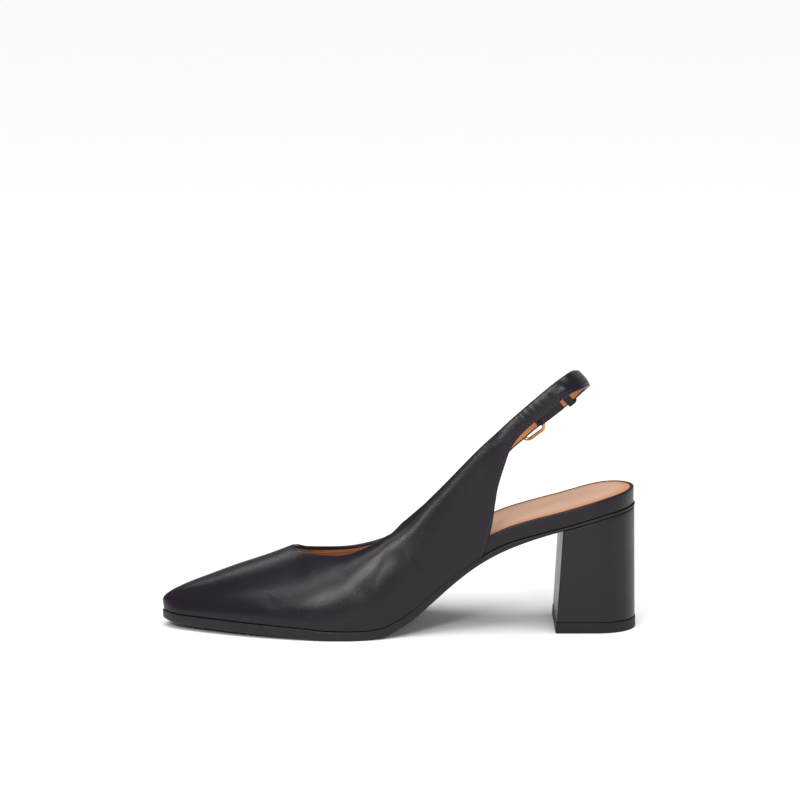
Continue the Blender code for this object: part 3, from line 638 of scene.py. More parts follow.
# place, sideways share of the width, height over the foot as a share of the instep height
RIDGE = (
    (0.0, -0.025, 0.13), (0.012, -0.032, 0.245), (0.036, -0.033, 0.345), (0.063, -0.035, 0.425),
    (0.097, -0.037, 0.512), (0.165, -0.039, 0.692), (0.2, -0.039, 0.777), (0.233, -0.039, 0.862),
    (0.277, -0.038, 0.99),
)

# place of the foot below, place, sideways share, height share over the foot's line
INNER_TOPLINE = (
    (0.277, 0.277, -0.038, 0.99), (0.287, 0.286, -0.13, 0.982), (0.313, 0.307, -0.204, 0.976),
    (0.341, 0.337, -0.266, 0.983), (0.373, 0.373, -0.313, 1.012), (0.402, 0.402, -0.336, 1.054),
    (0.432, 0.439, -0.348, 1.089), (0.456, 0.466, -0.35, 1.08), (0.48, 0.492, -0.355, 1.019),
    (0.508, 0.522, -0.365, 0.965), (0.54, 0.554, -0.383, 0.906), (0.571, 0.586, -0.408, 0.843),
    (0.613, 0.623, -0.441, 0.798), (0.651, 0.654, -0.467, 0.783), (0.674, 0.674, -0.478, 0.781),
)
OUTER_TOPLINE = (
    (0.277, 0.277, -0.038, 0.99), (0.287, 0.287, 0.064, 0.955), (0.313, 0.305, 0.14, 0.903),
    (0.341, 0.341, 0.246, 0.87), (0.373, 0.377, 0.3, 0.866), (0.404, 0.41, 0.332, 0.866),
    (0.44, 0.451, 0.36, 0.84), (0.464, 0.479, 0.37, 0.8), (0.488, 0.504, 0.38, 0.8),
    (0.504, 0.52, 0.388, 0.782), (0.543, 0.559, 0.413, 0.708), (0.587, 0.599, 0.444, 0.646),
    (0.638, 0.638, 0.473, 0.611), (0.674, 0.674, 0.489, 0.602),
)

# lower edge and upper edge: place, sideways share, height share
INNER_REAR = (
    (0.683, -0.525, 0.06, 0.686, -0.482, 0.783), (0.694, -0.541, 0.193, 0.696, -0.484, 0.787),
    (0.701, -0.542, 0.313, 0.705, -0.484, 0.793), (0.709, -0.532, 0.43, 0.713, -0.484, 0.799),
    (0.722, -0.515, 0.542, 0.72, -0.484, 0.805), (0.734, -0.5, 0.628, 0.728, -0.484, 0.813),
    (0.75, -0.491, 0.683, 0.736, -0.482, 0.823),
)
OUTER_REAR = (
    (0.683, 0.567, 0.06, 0.685, 0.489, 0.604), (0.692, 0.567, 0.166, 0.693, 0.487, 0.607),
    (0.7, 0.553, 0.266, 0.7, 0.484, 0.61), (0.709, 0.534, 0.357, 0.706, 0.481, 0.614),
    (0.721, 0.511, 0.428, 0.713, 0.477, 0.619), (0.743, 0.479, 0.493, 0.722, 0.472, 0.627),
)
LOOP = (
    (0.766, -0.487, 0.72, 0.745, -0.481, 0.836), (0.786, -0.484, 0.757, 0.76, -0.479, 0.862),
    (0.818, -0.477, 0.815, 0.79, -0.473, 0.915), (0.859, -0.45, 0.871, 0.831, -0.452, 0.984),
    (0.884, -0.352, 0.872, 0.855, -0.352, 1.006), (0.899, -0.18, 0.856, 0.868, -0.18, 0.998),
    (0.906, 0.0, 0.832, 0.879, 0.0, 0.97), (0.903, 0.18, 0.799, 0.884, 0.18, 0.94),
    (0.891, 0.33, 0.758, 0.873, 0.315, 0.893), (0.87, 0.402, 0.714, 0.847, 0.388, 0.834),
    (0.843, 0.426, 0.666, 0.819, 0.417, 0.779), (0.816, 0.441, 0.62, 0.791, 0.436, 0.73),
    (0.791, 0.455, 0.578, 0.766, 0.451, 0.688), (0.765, 0.466, 0.533, 0.741, 0.464, 0.648),
)

# place of the foot, height and outward reach of the lower handle, outward reach and height of
# the upper one: the handles of the last's half section, as shares of its height and half width
INNER_FORM = (
    (0.0, 0.45, 0.0, 0.55, 1.0), (0.06, 0.45, 0.04, 0.56, 1.0), (0.17, 0.44, 0.07, 0.52, 1.02),
    (0.277, 0.45, 0.08, 0.43, 1.035), (0.35, 0.45, 0.09, 0.48, 1.03),
    (0.44, 0.41, 0.11, 0.66, 1.015), (0.54, 0.36, 0.12, 0.78, 1.0), (0.68, 0.36, 0.08, 0.82, 1.0),
)
OUTER_FORM = (
    (0.0, 0.45, 0.0, 0.55, 1.0), (0.06, 0.45, 0.04, 0.56, 1.0), (0.17, 0.43, 0.07, 0.5, 0.975),
    (0.277, 0.43, 0.08, 0.43, 0.94), (0.35, 0.42, 0.09, 0.45, 0.91),
    (0.44, 0.42, 0.11, 0.56, 0.92), (0.54, 0.4, 0.12, 0.7, 0.96), (0.68, 0.38, 0.08, 0.8, 1.0),
)

# Seam between vamp and quarter, place and height share over the foot's line, from topline down.
SEAM = (
    (0.491, 1.02), (0.508, 0.8), (0.53, 0.52), (0.556, 0.26), (0.585, 0.02),
)

# Troughs in side view: depth and width, then points along and above the floor, all in mm.
CREASES = (
    (0.16, 2.6, (-174.0, 20.5), (-168.0, 16.8), (-161.0, 14.3), (-153.0, 12.9), (-145.0, 12.4)),
    (0.12, 3.0, (-96.0, 38.0), (-89.0, 31.0), (-83.0, 26.5)),
    (0.1, 2.4, (-86.0, 40.0), (-80.0, 34.0), (-76.0, 30.0)),
    (0.1, 3.2, (-136.0, 36.0), (-128.0, 29.0), (-121.0, 24.0)),
)

# Cross wrinkles of the strap: place on its path, depth in mm, half width in rows.
WRINKLES = ((0.9, 0.05, 0.20), (1.55, 0.08, 0.16), (2.1, 0.07, 0.14), (2.5, 0.10, 0.13),
            (2.85, 0.08, 0.12), (3.25, 0.10, 0.13), (3.7, 0.06, 0.13), (5.1, 0.05, 0.12))


def through(rows, places):
    """A cubic through rows of equal spacing, whose slope at a row follows its neighbours."""
    rows = np.asarray(rows)
    padded = np.vstack([2 * rows[:1] - rows[1:2], rows, 2 * rows[-1:] - rows[-2:-1]])
    at = np.atleast_1d(places)
    i = np.clip(np.floor(at).astype(int), 0, len(rows) - 2)
    t = (at - i)[:, None]
    a, b, c, d = padded[i], padded[i + 1], padded[i + 2], padded[i + 3]
    return b + 0.5 * t * (c - a + t * (2 * a - 5 * b + 4 * c - d + t * (3 * (b - c) + d - a)))


def rise_at(place):
    return eased(INSTEP_HEIGHT, STRAP_HEIGHT, (np.asarray(place) - 0.38) / 0.37)


def ridge_line(place):
    """Sideways and height shares of the ridge, which end at the throat."""
    return steady(over_turn(RIDGE), turn(place))


def upper_foot(places, side):
    """The line on which the upper stands, on one side."""
    plan = edge_points(turn(places), side, UPPER_WALL * steady(FOOT_INSET, places)[:, 0])
    return np.column_stack([plan, sole_top(place_of(plan[:, 0])) + CLEARANCE])


def spot(place, sideways, height):
    """A point from its place, share of the width and share of the rise."""
    place = np.asarray(place)
    return np.stack([x_of(place), sideways * width_at(place),
                     sole_top(place) + height * rise_at(place)], axis=1)


def half_section(t, form):
    """Outward and upward shares of the last's half section, a cubic from foot to ridge."""
    out = ((1 - t) ** 3 + 3 * (1 - t) ** 2 * t * (1 + form[:, 1:2])
           + 3 * (1 - t) * t ** 2 * form[:, 2:3])
    up = 3 * (1 - t) ** 2 * t * form[:, 0:1] + 3 * (1 - t) * t ** 2 * form[:, 3:4] + t ** 3
    return out, up


def wall_curve(foot, top, side, place):
    """The last's section as far as the topline's distance from the ridge, scaled to its height.

    Past the waist it goes over to the straight line from foot to top.
    """
    form = steady(INNER_FORM if side < 0 else OUTER_FORM, place)
    middle = ridge_line(place)[:, 0] * width_at(place)
    half = side * (foot[:, 1] - middle)
    away = np.maximum(side * (top[:, 1] - middle), 0.0)
    out = half[:, None] * half_section(np.linspace(0, 1, SECTION_SAMPLES)[None, :], form)[0]
    last = SECTION_SAMPLES - 1 - np.argmax((out >= away[:, None])[:, ::-1], axis=1)
    last = np.minimum(last, SECTION_SAMPLES - 2)
    row = np.arange(len(last))
    fall = out[row, last] - out[row, last + 1]
    extra = np.where(fall > 0, (out[row, last] - away) / np.where(fall > 0, fall, 1.0), 1.0)
    cut = (last + np.clip(extra, 0, 1)) / (SECTION_SAMPLES - 1)
    share = np.linspace(0, 1, SECTION_STEPS + 1)
    out, up = half_section(cut[:, None] * share[None, :], form)
    up = up / up[:, -1:]
    flat = foot[:, None] + (top - foot)[:, None] * share[None, :, None]
    curve = foot[:, None] + (top - foot)[:, None] * up[:, :, None]
    curve[:, :, 1] = middle[:, None] + side * half[:, None] * out
    curve[:, :, 1] += share[None] * (top[:, 1:2] - curve[:, -1:, 1])
    straight = eased(0.0, 1.0, (np.asarray(place) - STRAIGHT_FROM) / STRAIGHT_SPAN)
    return curve + (flat - curve) * straight[:, None, None]


def strap_edges(places):
    """Lower and upper edge of the strap's path, from the inner quarter to the outer one."""
    path = np.vstack([[INNER_REAR[-1]], LOOP, [OUTER_REAR[-1]]])
    return through(spot(*path[:, 0:3].T), places), through(spot(*path[:, 3:6].T), places)


def strap_frame(places):
    """Centre, direction, upward and outward unit vectors of the strap at its places."""
    low, high = strap_edges(places)
    places = np.asarray(places)
    along = unit(sum(strap_edges(places + 0.02)) - sum(strap_edges(places - 0.02)))
    up = high - low
    up = unit(up - along * np.sum(up * along, axis=1)[:, None])
    return (low + high) / 2, along, up, np.cross(along, up)


def row_share(length, place):
    """How many rows of the strap's path a length takes at a place."""
    low, high = strap_edges([place - 0.5, place + 0.5])
    middle = (low + high) / 2
    return length / np.linalg.norm(middle[1] - middle[0])


def billet_lift(places):
    """The billet leaves the quarter flush, then rides one wall outside the sling."""
    share = (np.asarray(places) - BILLET_RISE + 1) / BILLET_RISE_ROWS
    return eased(STRAP_WALL + CLEARANCE, 0.0, share)


BAR_PLACE = BUCKLE_PLACE - row_share(BUCKLE_LENGTH / 2, BUCKLE_PLACE)
SLING_END = BAR_PLACE - row_share(BUCKLE_WIRE / 2 + CLEARANCE, BUCKLE_PLACE)


def across_throat(curve, places):
    """The sections on both sides of the throat, led over it by one cubic for each column.

    The cubic keeps position and slope at both ends. It fades out towards the topline.
    """
    first, last = np.searchsorted(places, THROAT_SPAN)
    span = places[last] - places[first]
    t = ((places[first:last + 1] - places[first]) / span)[:, None, None]
    leave = (curve[first] - curve[first - 1]) / (places[first] - places[first - 1]) * span
    reach = (curve[last + 1] - curve[last]) / (places[last + 1] - places[last]) * span
    smooth = ((1 + 2 * t) * (1 - t) ** 2 * curve[first] + t * (1 - t) ** 2 * leave
              + t * t * (3 - 2 * t) * curve[last] + t * t * (t - 1) * reach)
    share = np.linspace(0, 1, curve.shape[1])
    weight = eased(1, 0, (share - 0.70) / 0.28)[None, :, None]
    curve[first:last + 1] += (smooth - curve[first:last + 1]) * weight
    return curve


def side_run(topline, rear, side):
    """Sections of one side from the nose over the quarter to the strap's end, from the foot up.

    Gives the sections, the strap path's place of each, and the numbers of the sections at the
    throat, at the sole's last one and at the strap's start.
    """
    nose = (1 - np.cos(np.linspace(0, float(turn(NOSE_END)), TOE_STEPS + 1))) / 2
    hoops = np.concatenate([nose, np.linspace(NOSE_END, RIDGE[-1][0], 20)[1:-1]])
    shares = ridge_line(hoops)
    ridge = np.column_stack([x_of(hoops), shares[:, 0] * width_at(hoops),
                             sole_top(hoops) + shares[:, 1] * INSTEP_HEIGHT])
    topline, rear, loop = np.array(topline), np.array(rear), np.array(LOOP)
    if side > 0:
        loop = loop[::-1]
    rows = np.vstack([rear, loop])
    low = np.vstack([upper_foot(topline[:, 0], side), spot(*rows[:, 0:3].T)])
    high = np.vstack([spot(*topline[:, 1:4].T), spot(*rows[:, 3:6].T)])
    places = np.concatenate([topline[:, 0], rear[:, 0], np.ones(len(loop))])
    before = len(topline) + len(rear) - 1
    end = before + (SLING_END if side < 0 else len(LOOP) + 1 - BILLET_TIP)
    tip = row_share(NEAR_EDGE[1:6], 9.0)
    at = np.union1d(np.linspace(0, end, int(ROW_STEPS * end) + 1), end - tip)
    places = through(places[:, None], at)[:, 0]
    low, high = through(low, at), through(high, at)
    on_foot = at <= len(topline) - 1
    low[on_foot] = upper_foot(places[on_foot], side)
    path = at - before
    if side > 0:
        path = len(LOOP) + 1 - path
        lift = billet_lift(np.minimum(path, len(LOOP) + 1)) * (at > before)
        shift = strap_frame(np.clip(path, 0, len(LOOP) + 1))[3] * lift[:, None]
        low, high = low + shift, high + shift
    low = np.vstack([upper_foot(hoops, side), low])
    high = np.vstack([ridge, high])
    places = np.concatenate([hoops, places])
    curve = across_throat(wall_curve(low, high, side, places), places)
    throat = len(hoops)
    path = np.concatenate([np.full(throat, path[0]), path])
    return {"curve": curve, "path": path, "throat": throat, "side": side,
            "foot": throat + int(np.sum(on_foot)), "strap": throat + int(np.sum(at <= before))}


def read(run, name, at):
    """Values of each section at positions along its arc, straight between its samples."""
    arc, values = run["arc"], run[name]
    i = np.clip(np.sum(arc[:, None, :] <= at[:, :, None], axis=2) - 1, 0, arc.shape[1] - 2)
    row = np.arange(len(arc))[:, None]
    t = (at - arc[row, i]) / np.maximum(arc[row, i + 1] - arc[row, i], 1e-12)
    if values.ndim == 3:
        t = t[..., None]
    return values[row, i] * (1 - t) + values[row, i + 1] * t


def near_lines(run, lines):
    """Distance of each sample to the nearest of some lines."""
    curve = run["curve"]
    flat = curve.reshape(-1, 3)
    return np.min([far_from(flat, line) for line in lines], axis=0).reshape(curve.shape[:2])


inner_run = side_run(INNER_TOPLINE, INNER_REAR, -1)
outer_run = side_run(OUTER_TOPLINE, OUTER_REAR, 1)
for run in (inner_run, outer_run):
    curve = run["curve"]
    normal = np.cross(np.gradient(curve, axis=0), np.gradient(curve, axis=1)) * -run["side"]
    run["normal"] = normal / np.maximum(np.linalg.norm(normal, axis=2), 1e-15)[:, :, None]
    step = np.linalg.norm(np.diff(curve, axis=1), axis=2)
    run["arc"] = np.concatenate([np.zeros((len(curve), 1)), np.cumsum(step, axis=1)], axis=1)
throat = inner_run["throat"]
for where in ((slice(0, throat + 1), -1), (0, slice(None))):
    shared = unit(inner_run["normal"][where] + outer_run["normal"][where])
    inner_run["normal"][where] = shared
    outer_run["normal"][where] = shared
for run, other in ((inner_run, outer_run), (outer_run, inner_run)):
    curve, foot = run["curve"], run["foot"]
    opposite = other["curve"][throat:throat + ROW_STEPS * 8, -1]
    run["top_away"] = near_lines(run, [curve[throat:, -1], opposite])
    run["low_away"] = near_lines(run, [curve[foot - 1:, 0]])
    run["end_away"] = near_lines(run, [curve[-1, ::6]])
    run["foot_away"] = near_lines(run, [curve[:foot:2, 0]])


def seam_line():
    """Points of the lapped seam in side view."""
    rows = np.array(SEAM)
    at = through(rows, np.linspace(0, len(rows) - 1, 160))
    return np.column_stack([x_of(at[:, 0]), sole_top(at[:, 0]) + at[:, 1] * rise_at(at[:, 0])])


def side_of_line(points, line):
    """Signed distance to a dense plane line: positive to its right as it runs."""
    best = np.concatenate([np.argmin(np.linalg.norm(points[i:i + 4000, None] - line[None], axis=2),
                                     axis=1) for i in range(0, len(points), 4000)])
    best = np.clip(best, 1, len(line) - 2)
    step = unit(line[best + 1] - line[best - 1])
    away = points - line[best]
    return step[:, 1] * away[:, 0] - step[:, 0] * away[:, 1]


def relief(run, point, low_away):
    """Height of seam, stitch groove, creases and wrinkles over the smooth leather.

    A crease is a trough with two low ridges: -depth (1 - u^2) exp(-u^2), u in widths.
    """
    flat = point.reshape(-1, 3)[:, [0, 2]]
    seam = side_of_line(flat, seam_line()).reshape(point.shape[:2])
    height = LAP_HEIGHT * eased(0, 1, (seam + LAP_TURN) / (2 * LAP_TURN))
    height *= eased(1, 0, seam / LAP_FADE)
    height -= GROOVE_DEPTH * np.exp(-((low_away - GROOVE_PLACE) / GROOVE_WIDTH) ** 2)
    if run["side"] < 0:
        for depth, width, *line in CREASES:
            u = far_from(flat, np.array(line) / 1000).reshape(point.shape[:2]) * 1000 / width
            height -= depth / 1000 * (1 - u * u) * np.exp(-u * u)
    for place, depth, width in WRINKLES:
        u = (run["path"] - place) / width
        height -= (depth / 1000 * (1 - u * u) * np.exp(-u * u))[:, None]
    return height


def leather_faces(run, at):
    """Outer and inner face of the wall at arc positions, and the normals there.

    Both faces are pulled in towards a free edge by pull (1 - d / reach)^2. At every edge they
    meet on two quarter ellipses: each moves by its share of w (1 - sqrt(1 - (1 - 2 d / w)^2)).
    """
    point, normal = read(run, "curve", at), read(run, "normal", at)
    top, low = read(run, "top_away", at), read(run, "low_away", at)
    edge = np.minimum(np.minimum(top, low), read(run, "end_away", at))
    edge = np.minimum(edge, read(run, "foot_away", at) * 2.2)
    behind = eased(0, 1, (place_of(point[:, :, 0]) - PULL_FROM) / PULL_SPAN)
    pull = (behind * TOPLINE_PULL * np.clip(1 - top / TOPLINE_REACH, 0, 1) ** 2
            + LOWER_PULL * np.clip(1 - low / LOWER_REACH, 0, 1) ** 2)
    short = 1 - np.clip(edge * 2 / UPPER_WALL, 0, 1)
    turned = 1 - np.sqrt(np.maximum(1 - short * short, 0))
    form = relief(run, point, low) * np.clip(edge / RELIEF_FADE, 0, 1)
    outer = point + normal * (form - pull - TURNED_SHARE * UPPER_WALL * turned)[:, :, None]
    inner = point - normal * (pull + UPPER_WALL * (1 - (1 - TURNED_SHARE) * turned))[:, :, None]
    return outer, inner, normal


def spread_columns(low, high, between=15):
    """Positions between two arc positions of each section, crowded towards both ends."""
    scale = np.minimum(1, (high - low) / 0.0105)[:, None]
    first = low[:, None] + NEAR_EDGE * scale
    last = high[:, None] - NEAR_EDGE[::-1] * scale
    share = np.linspace(0, 1, between + 2)[None, 1:-1]
    return np.hstack([first, first[:, -1:] + (last[:, :1] - first[:, -1:]) * share, last])


def joined(inner_grid, outer_grid):
    """Vertices and quads of the two sides' grids, both facing outward."""
    outer_grid = outer_grid[:, ::-1]
    faces = [grid_faces(*inner_grid.shape[:2]),
             grid_faces(*outer_grid.shape[:2], inner_grid.shape[0] * inner_grid.shape[1])]
    return np.vstack([inner_grid.reshape(-1, 3), outer_grid.reshape(-1, 3)]), np.concatenate(faces)


outsides, insides = [], []
for run in (inner_run, outer_run):
    length = run["arc"][:, -1]
    outside, inside, _ = leather_faces(run, spread_columns(0 * length, length))
    outsides.append(outside)
    insides.append(inside)
out_points, out_faces = joined(*outsides)
in_points, in_faces = joined(*insides)
upper = mesh_object("upper_leather", np.vstack([out_points, in_points]),
                    np.vstack([out_faces, in_faces[:, ::-1] + len(out_points)]), merge=2e-6)
mark(upper.data, "seam", side_of_line(points_of(upper.data)[:, [0, 2]], seam_line()) * 1000)

vamp_leather = finish("vamp_leather", BLACK, 0.255, grain=1150.0, depth=0.00006, spread=0.03,
                      specular=0.25)
vamp_tree = vamp_leather.node_tree
lap = add_node(vamp_tree, "MapRange", {"From Min": -0.25, "From Max": 0.05},
               interpolation_type="SMOOTHSTEP")
lap_bump = add_node(vamp_tree, "Bump", {"Distance": LAP_HEIGHT})
vamp_tree.links.new(read_mark(vamp_leather, "seam"), lap.inputs["Value"])
vamp_tree.links.new(lap.outputs["Result"], lap_bump.inputs["Height"])
vamp_tree.links.new(lap_bump.outputs["Normal"], vamp_tree.nodes["relief"].inputs["Normal"])
settle(upper, vamp_leather, "black_leather", "upper", "sling_strap", "billet_strap")


# Lining.
# Thin tan leather inside the vamp, the quarters and the straps. Its edge lies a little under
# the turned topline and is held there by a row of pale thread.

LINING_WALL = 0.00045
LINING_GAP = 0.00003
LINING_LOW_MARGIN = 0.0009
LINING_FOOT_MARGIN = 0.0006
FOLD_LENGTH = 0.0135
FOLD_OVERLAP = 0.001
BAR_ROOM = 0.0034


def lining_margin(run, extra=0.0):
    """The black turned edge is widest at the throat and narrow on the straps."""
    x = run["curve"][:, -1, 0]
    return eased(0.0017, 0.0007, (place_of(x) - 0.42) / 0.25) + extra


def cut(run, name, margin):
    """Arc position at which a section, on its way to an edge, comes to the margin from it.

    The name says whether that edge is the topline or the free lower edge.
    """
    arc, away = run["arc"], run[name]
    enough = away >= np.reshape(margin, (-1, 1))
    row, last = np.arange(len(arc)), arc.shape[1] - 1
    if name == "top_away":
        here = last - np.argmax(enough[:, ::-1], axis=1)
        beyond = np.minimum(here + 1, last)
    else:
        here = np.argmax(enough, axis=1)
        beyond = np.maximum(here - 1, 0)
    fall = away[row, here] - away[row, beyond]
    share = np.where(fall > 0, (away[row, here] - margin) / np.where(fall > 0, fall, 1), 0)
    return arc[row, here] + np.clip(share, 0, 1) * (arc[row, beyond] - arc[row, here])


lining_grids = []
for run in (inner_run, outer_run):
    high = cut(run, "top_away", lining_margin(run))
    low = np.maximum(cut(run, "low_away", LINING_LOW_MARGIN), LINING_FOOT_MARGIN)
    low = np.minimum(low, high - 0.001)
    if run["side"] < 0:
        kept = run["path"] <= BAR_PLACE - row_share(FOLD_LENGTH - FOLD_OVERLAP, BAR_PLACE)
    else:
        kept = run["path"] >= BAR_PLACE + row_share(BAR_ROOM, BUCKLE_PLACE)
    share = (1 - np.cos(np.linspace(0, math.pi, 25)[None, :])) / 2
    at = low[:, None] + (high - low)[:, None] * share
    _, inside, normal = leather_faces(run, at)
    lining_grids.append((inside - normal * LINING_GAP)[kept])
lining = mesh_object("lining_leather", *joined(*lining_grids), merge=2e-6)
lining_wall = lining.modifiers.new("Wall", "SOLIDIFY")
lining_wall.thickness = LINING_WALL
lining_wall.offset = -1
lining_tan = finish("lining_tan", (0.44, 0.155, 0.060), 0.60, grain=1100.0, depth=0.00006,
                    specular=0.3)
settle(lining, lining_tan, "tan_leather")


# Stitches.
# A row of black thread in the groove along the rear edge and the strap's lower edge, and a
# paler row that holds the lining under the turned topline.

STITCH_PITCH = 0.0021
STITCH_LENGTH = 0.0017
BLACK_THREAD_RADIUS = 0.00021
PALE_THREAD_RADIUS = 0.00022
PALE_ROW_MARGIN = 0.0014
THREAD_RISE = 0.00006
THREAD_GAP = 0.00004
LAST_STITCHED_ROW = 3.6


def stitch_row(name, path, normal, radius):
    """Rounded stitches laid end to end on a path: each is a stretched ball of 6 by 8 faces."""
    step = np.linalg.norm(np.diff(path, axis=0), axis=1)
    along = np.concatenate([[0], np.cumsum(step)])
    at = np.arange(STITCH_PITCH / 2, along[-1] - STITCH_PITCH / 2, STITCH_PITCH)
    centre, ahead, up = (
        np.stack([np.interp(where, along, values[:, k]) for k in range(3)], axis=1)
        for where, values in ((at, path), (at + STITCH_PITCH / 4, path), (at, normal)))
    up = unit(up)
    tangent = unit(ahead - centre)
    side = np.cross(tangent, up)
    polar = np.linspace(0, math.pi, 7)[:, None]
    round_ = np.linspace(0, 2 * math.pi, 9)[None, :-1]
    a = np.cos(polar) * np.ones_like(round_)
    b = np.sin(polar) * np.cos(round_)
    c = np.sin(polar) * np.sin(round_)
    ball = np.stack([a * STITCH_LENGTH / 2, b * radius, c * radius], axis=2).reshape(-1, 3)
    points = (centre[:, None] + ball[None, :, 0:1] * tangent[:, None]
              + ball[None, :, 1:2] * up[:, None] + ball[None, :, 2:3] * side[:, None])
    one = grid_faces(7, 8, closed=True)
    faces = one[None] + (np.arange(len(at)) * len(ball))[:, None, None]
    return outward(mesh_object(name, points.reshape(-1, 3), faces.reshape(-1, 4), merge=1e-6))


thread_black = finish("thread_black", (0.022, 0.018, 0.024), 0.45, grain=4000.0, depth=0.00004)
thread_pale = finish("thread_pale", (0.62, 0.33, 0.17), 0.60, grain=4000.0, depth=0.00004)
for run, name in ((inner_run, "inner"), (outer_run, "outer")):
    outside, _, normal = leather_faces(run, cut(run, "low_away", GROOVE_PLACE)[:, None])
    kept = (run["low_away"][:, 0] < GROOVE_PLACE) & (run["end_away"][:, 0] > 0.002)
    if run["side"] < 0:
        kept &= run["path"] < LAST_STITCHED_ROW
    path = (outside + normal * THREAD_RISE)[kept, 0]
    black_row = stitch_row("stitches_edge_" + name, path, normal[kept, 0], BLACK_THREAD_RADIUS)
    settle(black_row, thread_black, "black_leather")
    at = cut(run, "top_away", lining_margin(run, PALE_ROW_MARGIN))
    _, inside, normal = leather_faces(run, at[:, None])
    before_strap = run["path"] < 0 if run["side"] < 0 else run["path"] > len(LOOP) + 1
    kept = (run["arc"][:, -1] - at > 1e-5) & before_strap
    path = (inside - normal * (LINING_GAP + LINING_WALL + THREAD_GAP))[kept, 0]
    pale_row = stitch_row("stitches_lining_" + name, path, -normal[kept, 0], PALE_THREAD_RADIUS)
    settle(pale_row, thread_pale, "tan_leather")


# Buckle, bar fold and keeper.
# A gold wire frame whose heel side is the bar. The strap's end is folded round the bar and
# sewn down inside. The prong comes through the billet, and a leather band holds its tip.

BUCKLE_WIDTH = 0.0160
BUCKLE_CORNER = 0.0035
PRONG_WIRE = 0.0013
PRONG_HOLE = 0.0024
PRONG_OVERHANG = 0.0011
PRONG_BEND = 0.12
KEEPER_PLACE = 10.1
KEEPER_WIDTH = 0.0040
KEEPER_WALL = 0.0009
KEEPER_ROOM = 0.0006
FOLD_WALL = 0.0009


def wire(name, points, radius, closed=False):
    """A round wire: a curve of straight steps with a bevel."""
    curve = bpy.data.curves.new(name, "CURVE")
    curve.dimensions = "3D"
    curve.bevel_depth = radius
    curve.bevel_resolution = 6
    curve.use_fill_caps = not closed
    spline = curve.splines.new("POLY")
    spline.points.add(len(points) - 1)
    spline.points.foreach_set("co", np.column_stack([points, np.ones(len(points))]).ravel())
    spline.use_cyclic_u = closed
    spline.use_smooth = True
    return show(bpy.data.objects.new(name, curve))


def rounded_loop(length, width, corner, steps=14):
    """Plan points of a rectangle with quarter circles at its corners."""
    quarter = np.linspace(0, math.pi / 2, steps + 1)
    arc = np.column_stack([np.cos(quarter), np.sin(quarter)])
    centres = np.array([length / 2 - corner, width / 2 - corner])
    parts = []
    for number, signs in enumerate(((1, 1), (-1, 1), (-1, -1), (1, -1))):
        piece = (centres + corner * arc) * signs
        parts.append(piece if number % 2 == 0 else piece[::-1])
    return np.concatenate(parts)


gold = finish("gold_plate", (0.74, 0.44, 0.19), 0.24, grain=300.0, depth=0.00001, patch=200.0,
              spread=0.05, metallic=1.0, shade=0.05)
ends = (BAR_PLACE, 2 * BUCKLE_PLACE - BAR_PLACE)
centre, along, up, out = strap_frame(ends)
bar = centre[0] - out[0] * STRAP_WALL / 2
rest = centre[1] + out[1] * (billet_lift(ends[1:])[0] + CLEARANCE + BUCKLE_WIRE / 2)
buckle_up = up.mean(axis=0)
buckle_along = unit(rest - bar)
plan = rounded_loop(np.linalg.norm(rest - bar), BUCKLE_WIDTH - BUCKLE_WIRE, BUCKLE_CORNER)
buckle_path = (bar + rest) / 2 + plan[:, :1] * buckle_along + plan[:, 1:] * buckle_up
buckle = wire("buckle_wire", buckle_path, BUCKLE_WIRE / 2, closed=True)
settle(buckle, gold, "gold_metal", "buckle_frame")

hole = BAR_PLACE + row_share(BUCKLE_WIRE / 2 + CLEARANCE + PRONG_HOLE / 2, BUCKLE_PLACE)
centre, _, _, out = (value[0] for value in strap_frame([hole]))
inner = centre - out * STRAP_WALL / 2
outer = centre + out * (billet_lift([hole])[0] + CLEARANCE + PRONG_WIRE)
end = rest + np.cross(buckle_along, buckle_up) * (BUCKLE_WIRE / 2 + CLEARANCE + PRONG_WIRE / 2)
corners = np.array([inner, outer, outer + (end - outer) * PRONG_BEND, end,
                    end + buckle_along * PRONG_OVERHANG])
prong = wire("buckle_prong_wire", through(corners, np.linspace(0, 4, 40)), PRONG_WIRE / 2)
settle(prong, gold, "gold_metal", "buckle_prong")


def soften(obj):
    """Small round edges where faces meet at a sharp angle."""
    edge = obj.modifiers.new("Edge", "BEVEL")
    edge.width = 0.0002
    edge.segments = 2
    edge.limit_method = "ANGLE"
    edge.angle_limit = math.radians(55)
    return obj


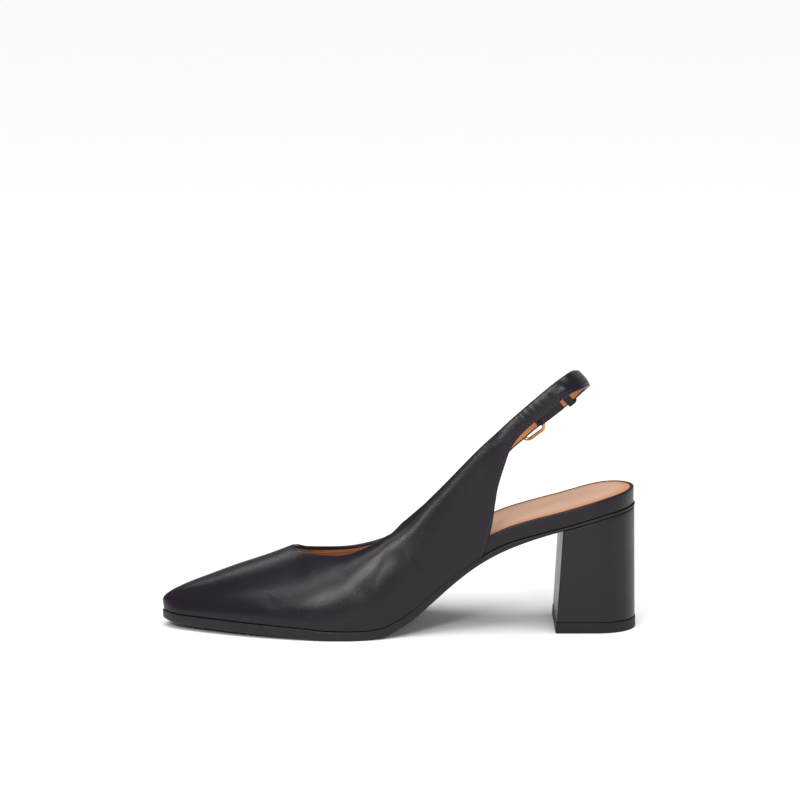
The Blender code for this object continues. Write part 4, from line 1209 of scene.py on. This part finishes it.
def fold_round_bar():
    """A strip that starts inside the sling, goes round the bar and ends outside it."""
    inner_rows = np.linspace(BAR_PLACE - row_share(FOLD_LENGTH, BAR_PLACE), BAR_PLACE, 24)
    centre, along, up, out = strap_frame(inner_rows)
    low, high = strap_edges(inner_rows)
    half = np.sum((high - low) * up, axis=1) / 2 - 0.0002
    depth = -STRAP_WALL - TOPLINE_PULL * 0.25 - FOLD_WALL * 0.5
    arc = np.linspace(-math.pi / 2, math.pi / 2, 16)[1:-1, None]
    reach = BUCKLE_WIRE / 2 + 0.0001 + FOLD_WALL * 0.5
    round_bar = (centre[-1] - out[-1] * STRAP_WALL / 2 + np.cos(arc) * along[-1] * reach
                 + np.sin(arc) * out[-1] * reach)
    spine = np.vstack([centre + out * depth, round_bar])
    ups = np.vstack([up, np.repeat(up[-1:], len(arc), axis=0)])
    halves = np.append(half, np.repeat(half[-1:], len(arc)))
    across = np.linspace(-1, 1, 9)[None, :, None]
    grid = spine[:, None] + ups[:, None] * halves[:, None, None] * across
    obj = mesh_object("bar_fold", grid.reshape(-1, 3), grid_faces(*grid.shape[:2]))
    thick = obj.modifiers.new("Wall", "SOLIDIFY")
    thick.thickness = FOLD_WALL * 0.8
    thick.offset = 0
    return soften(obj)


fold = fold_round_bar()
settle(fold, rim_leather, "black_leather")


def keeper_band():
    """A band of rectangular section carried round a rounded rectangle about both straps."""
    centre, along, up, out = (value[0] for value in strap_frame([KEEPER_PLACE]))
    low, high = strap_edges([KEEPER_PLACE])
    tall = float(np.dot((high - low)[0], up)) + 2 * KEEPER_ROOM + KEEPER_WALL
    deep = 2 * STRAP_WALL + CLEARANCE + 2 * KEEPER_ROOM + KEEPER_WALL
    plan = rounded_loop(deep, tall, KEEPER_WALL * 1.2, 5)
    points = centre + out * (CLEARANCE / 2) + plan[:, :1] * out + plan[:, 1:] * up
    tangent = unit(np.roll(points, -1, axis=0) - np.roll(points, 1, axis=0))
    normal = np.cross(tangent, along)
    corners = np.array([(1, 1), (1, -1), (-1, -1), (-1, 1)]) * 0.5
    grid = (points[:, None] + corners[None, :, :1] * KEEPER_WALL * normal[:, None]
            + corners[None, :, 1:] * KEEPER_WIDTH * along)
    grid = np.concatenate([grid, grid[:1]])
    obj = outward(mesh_object("keeper_band", grid.reshape(-1, 3),
                              grid_faces(*grid.shape[:2], closed=True), merge=1e-6))
    return soften(obj)


keeper = keeper_band()
settle(keeper, rim_leather, "black_leather", "keeper_loop")
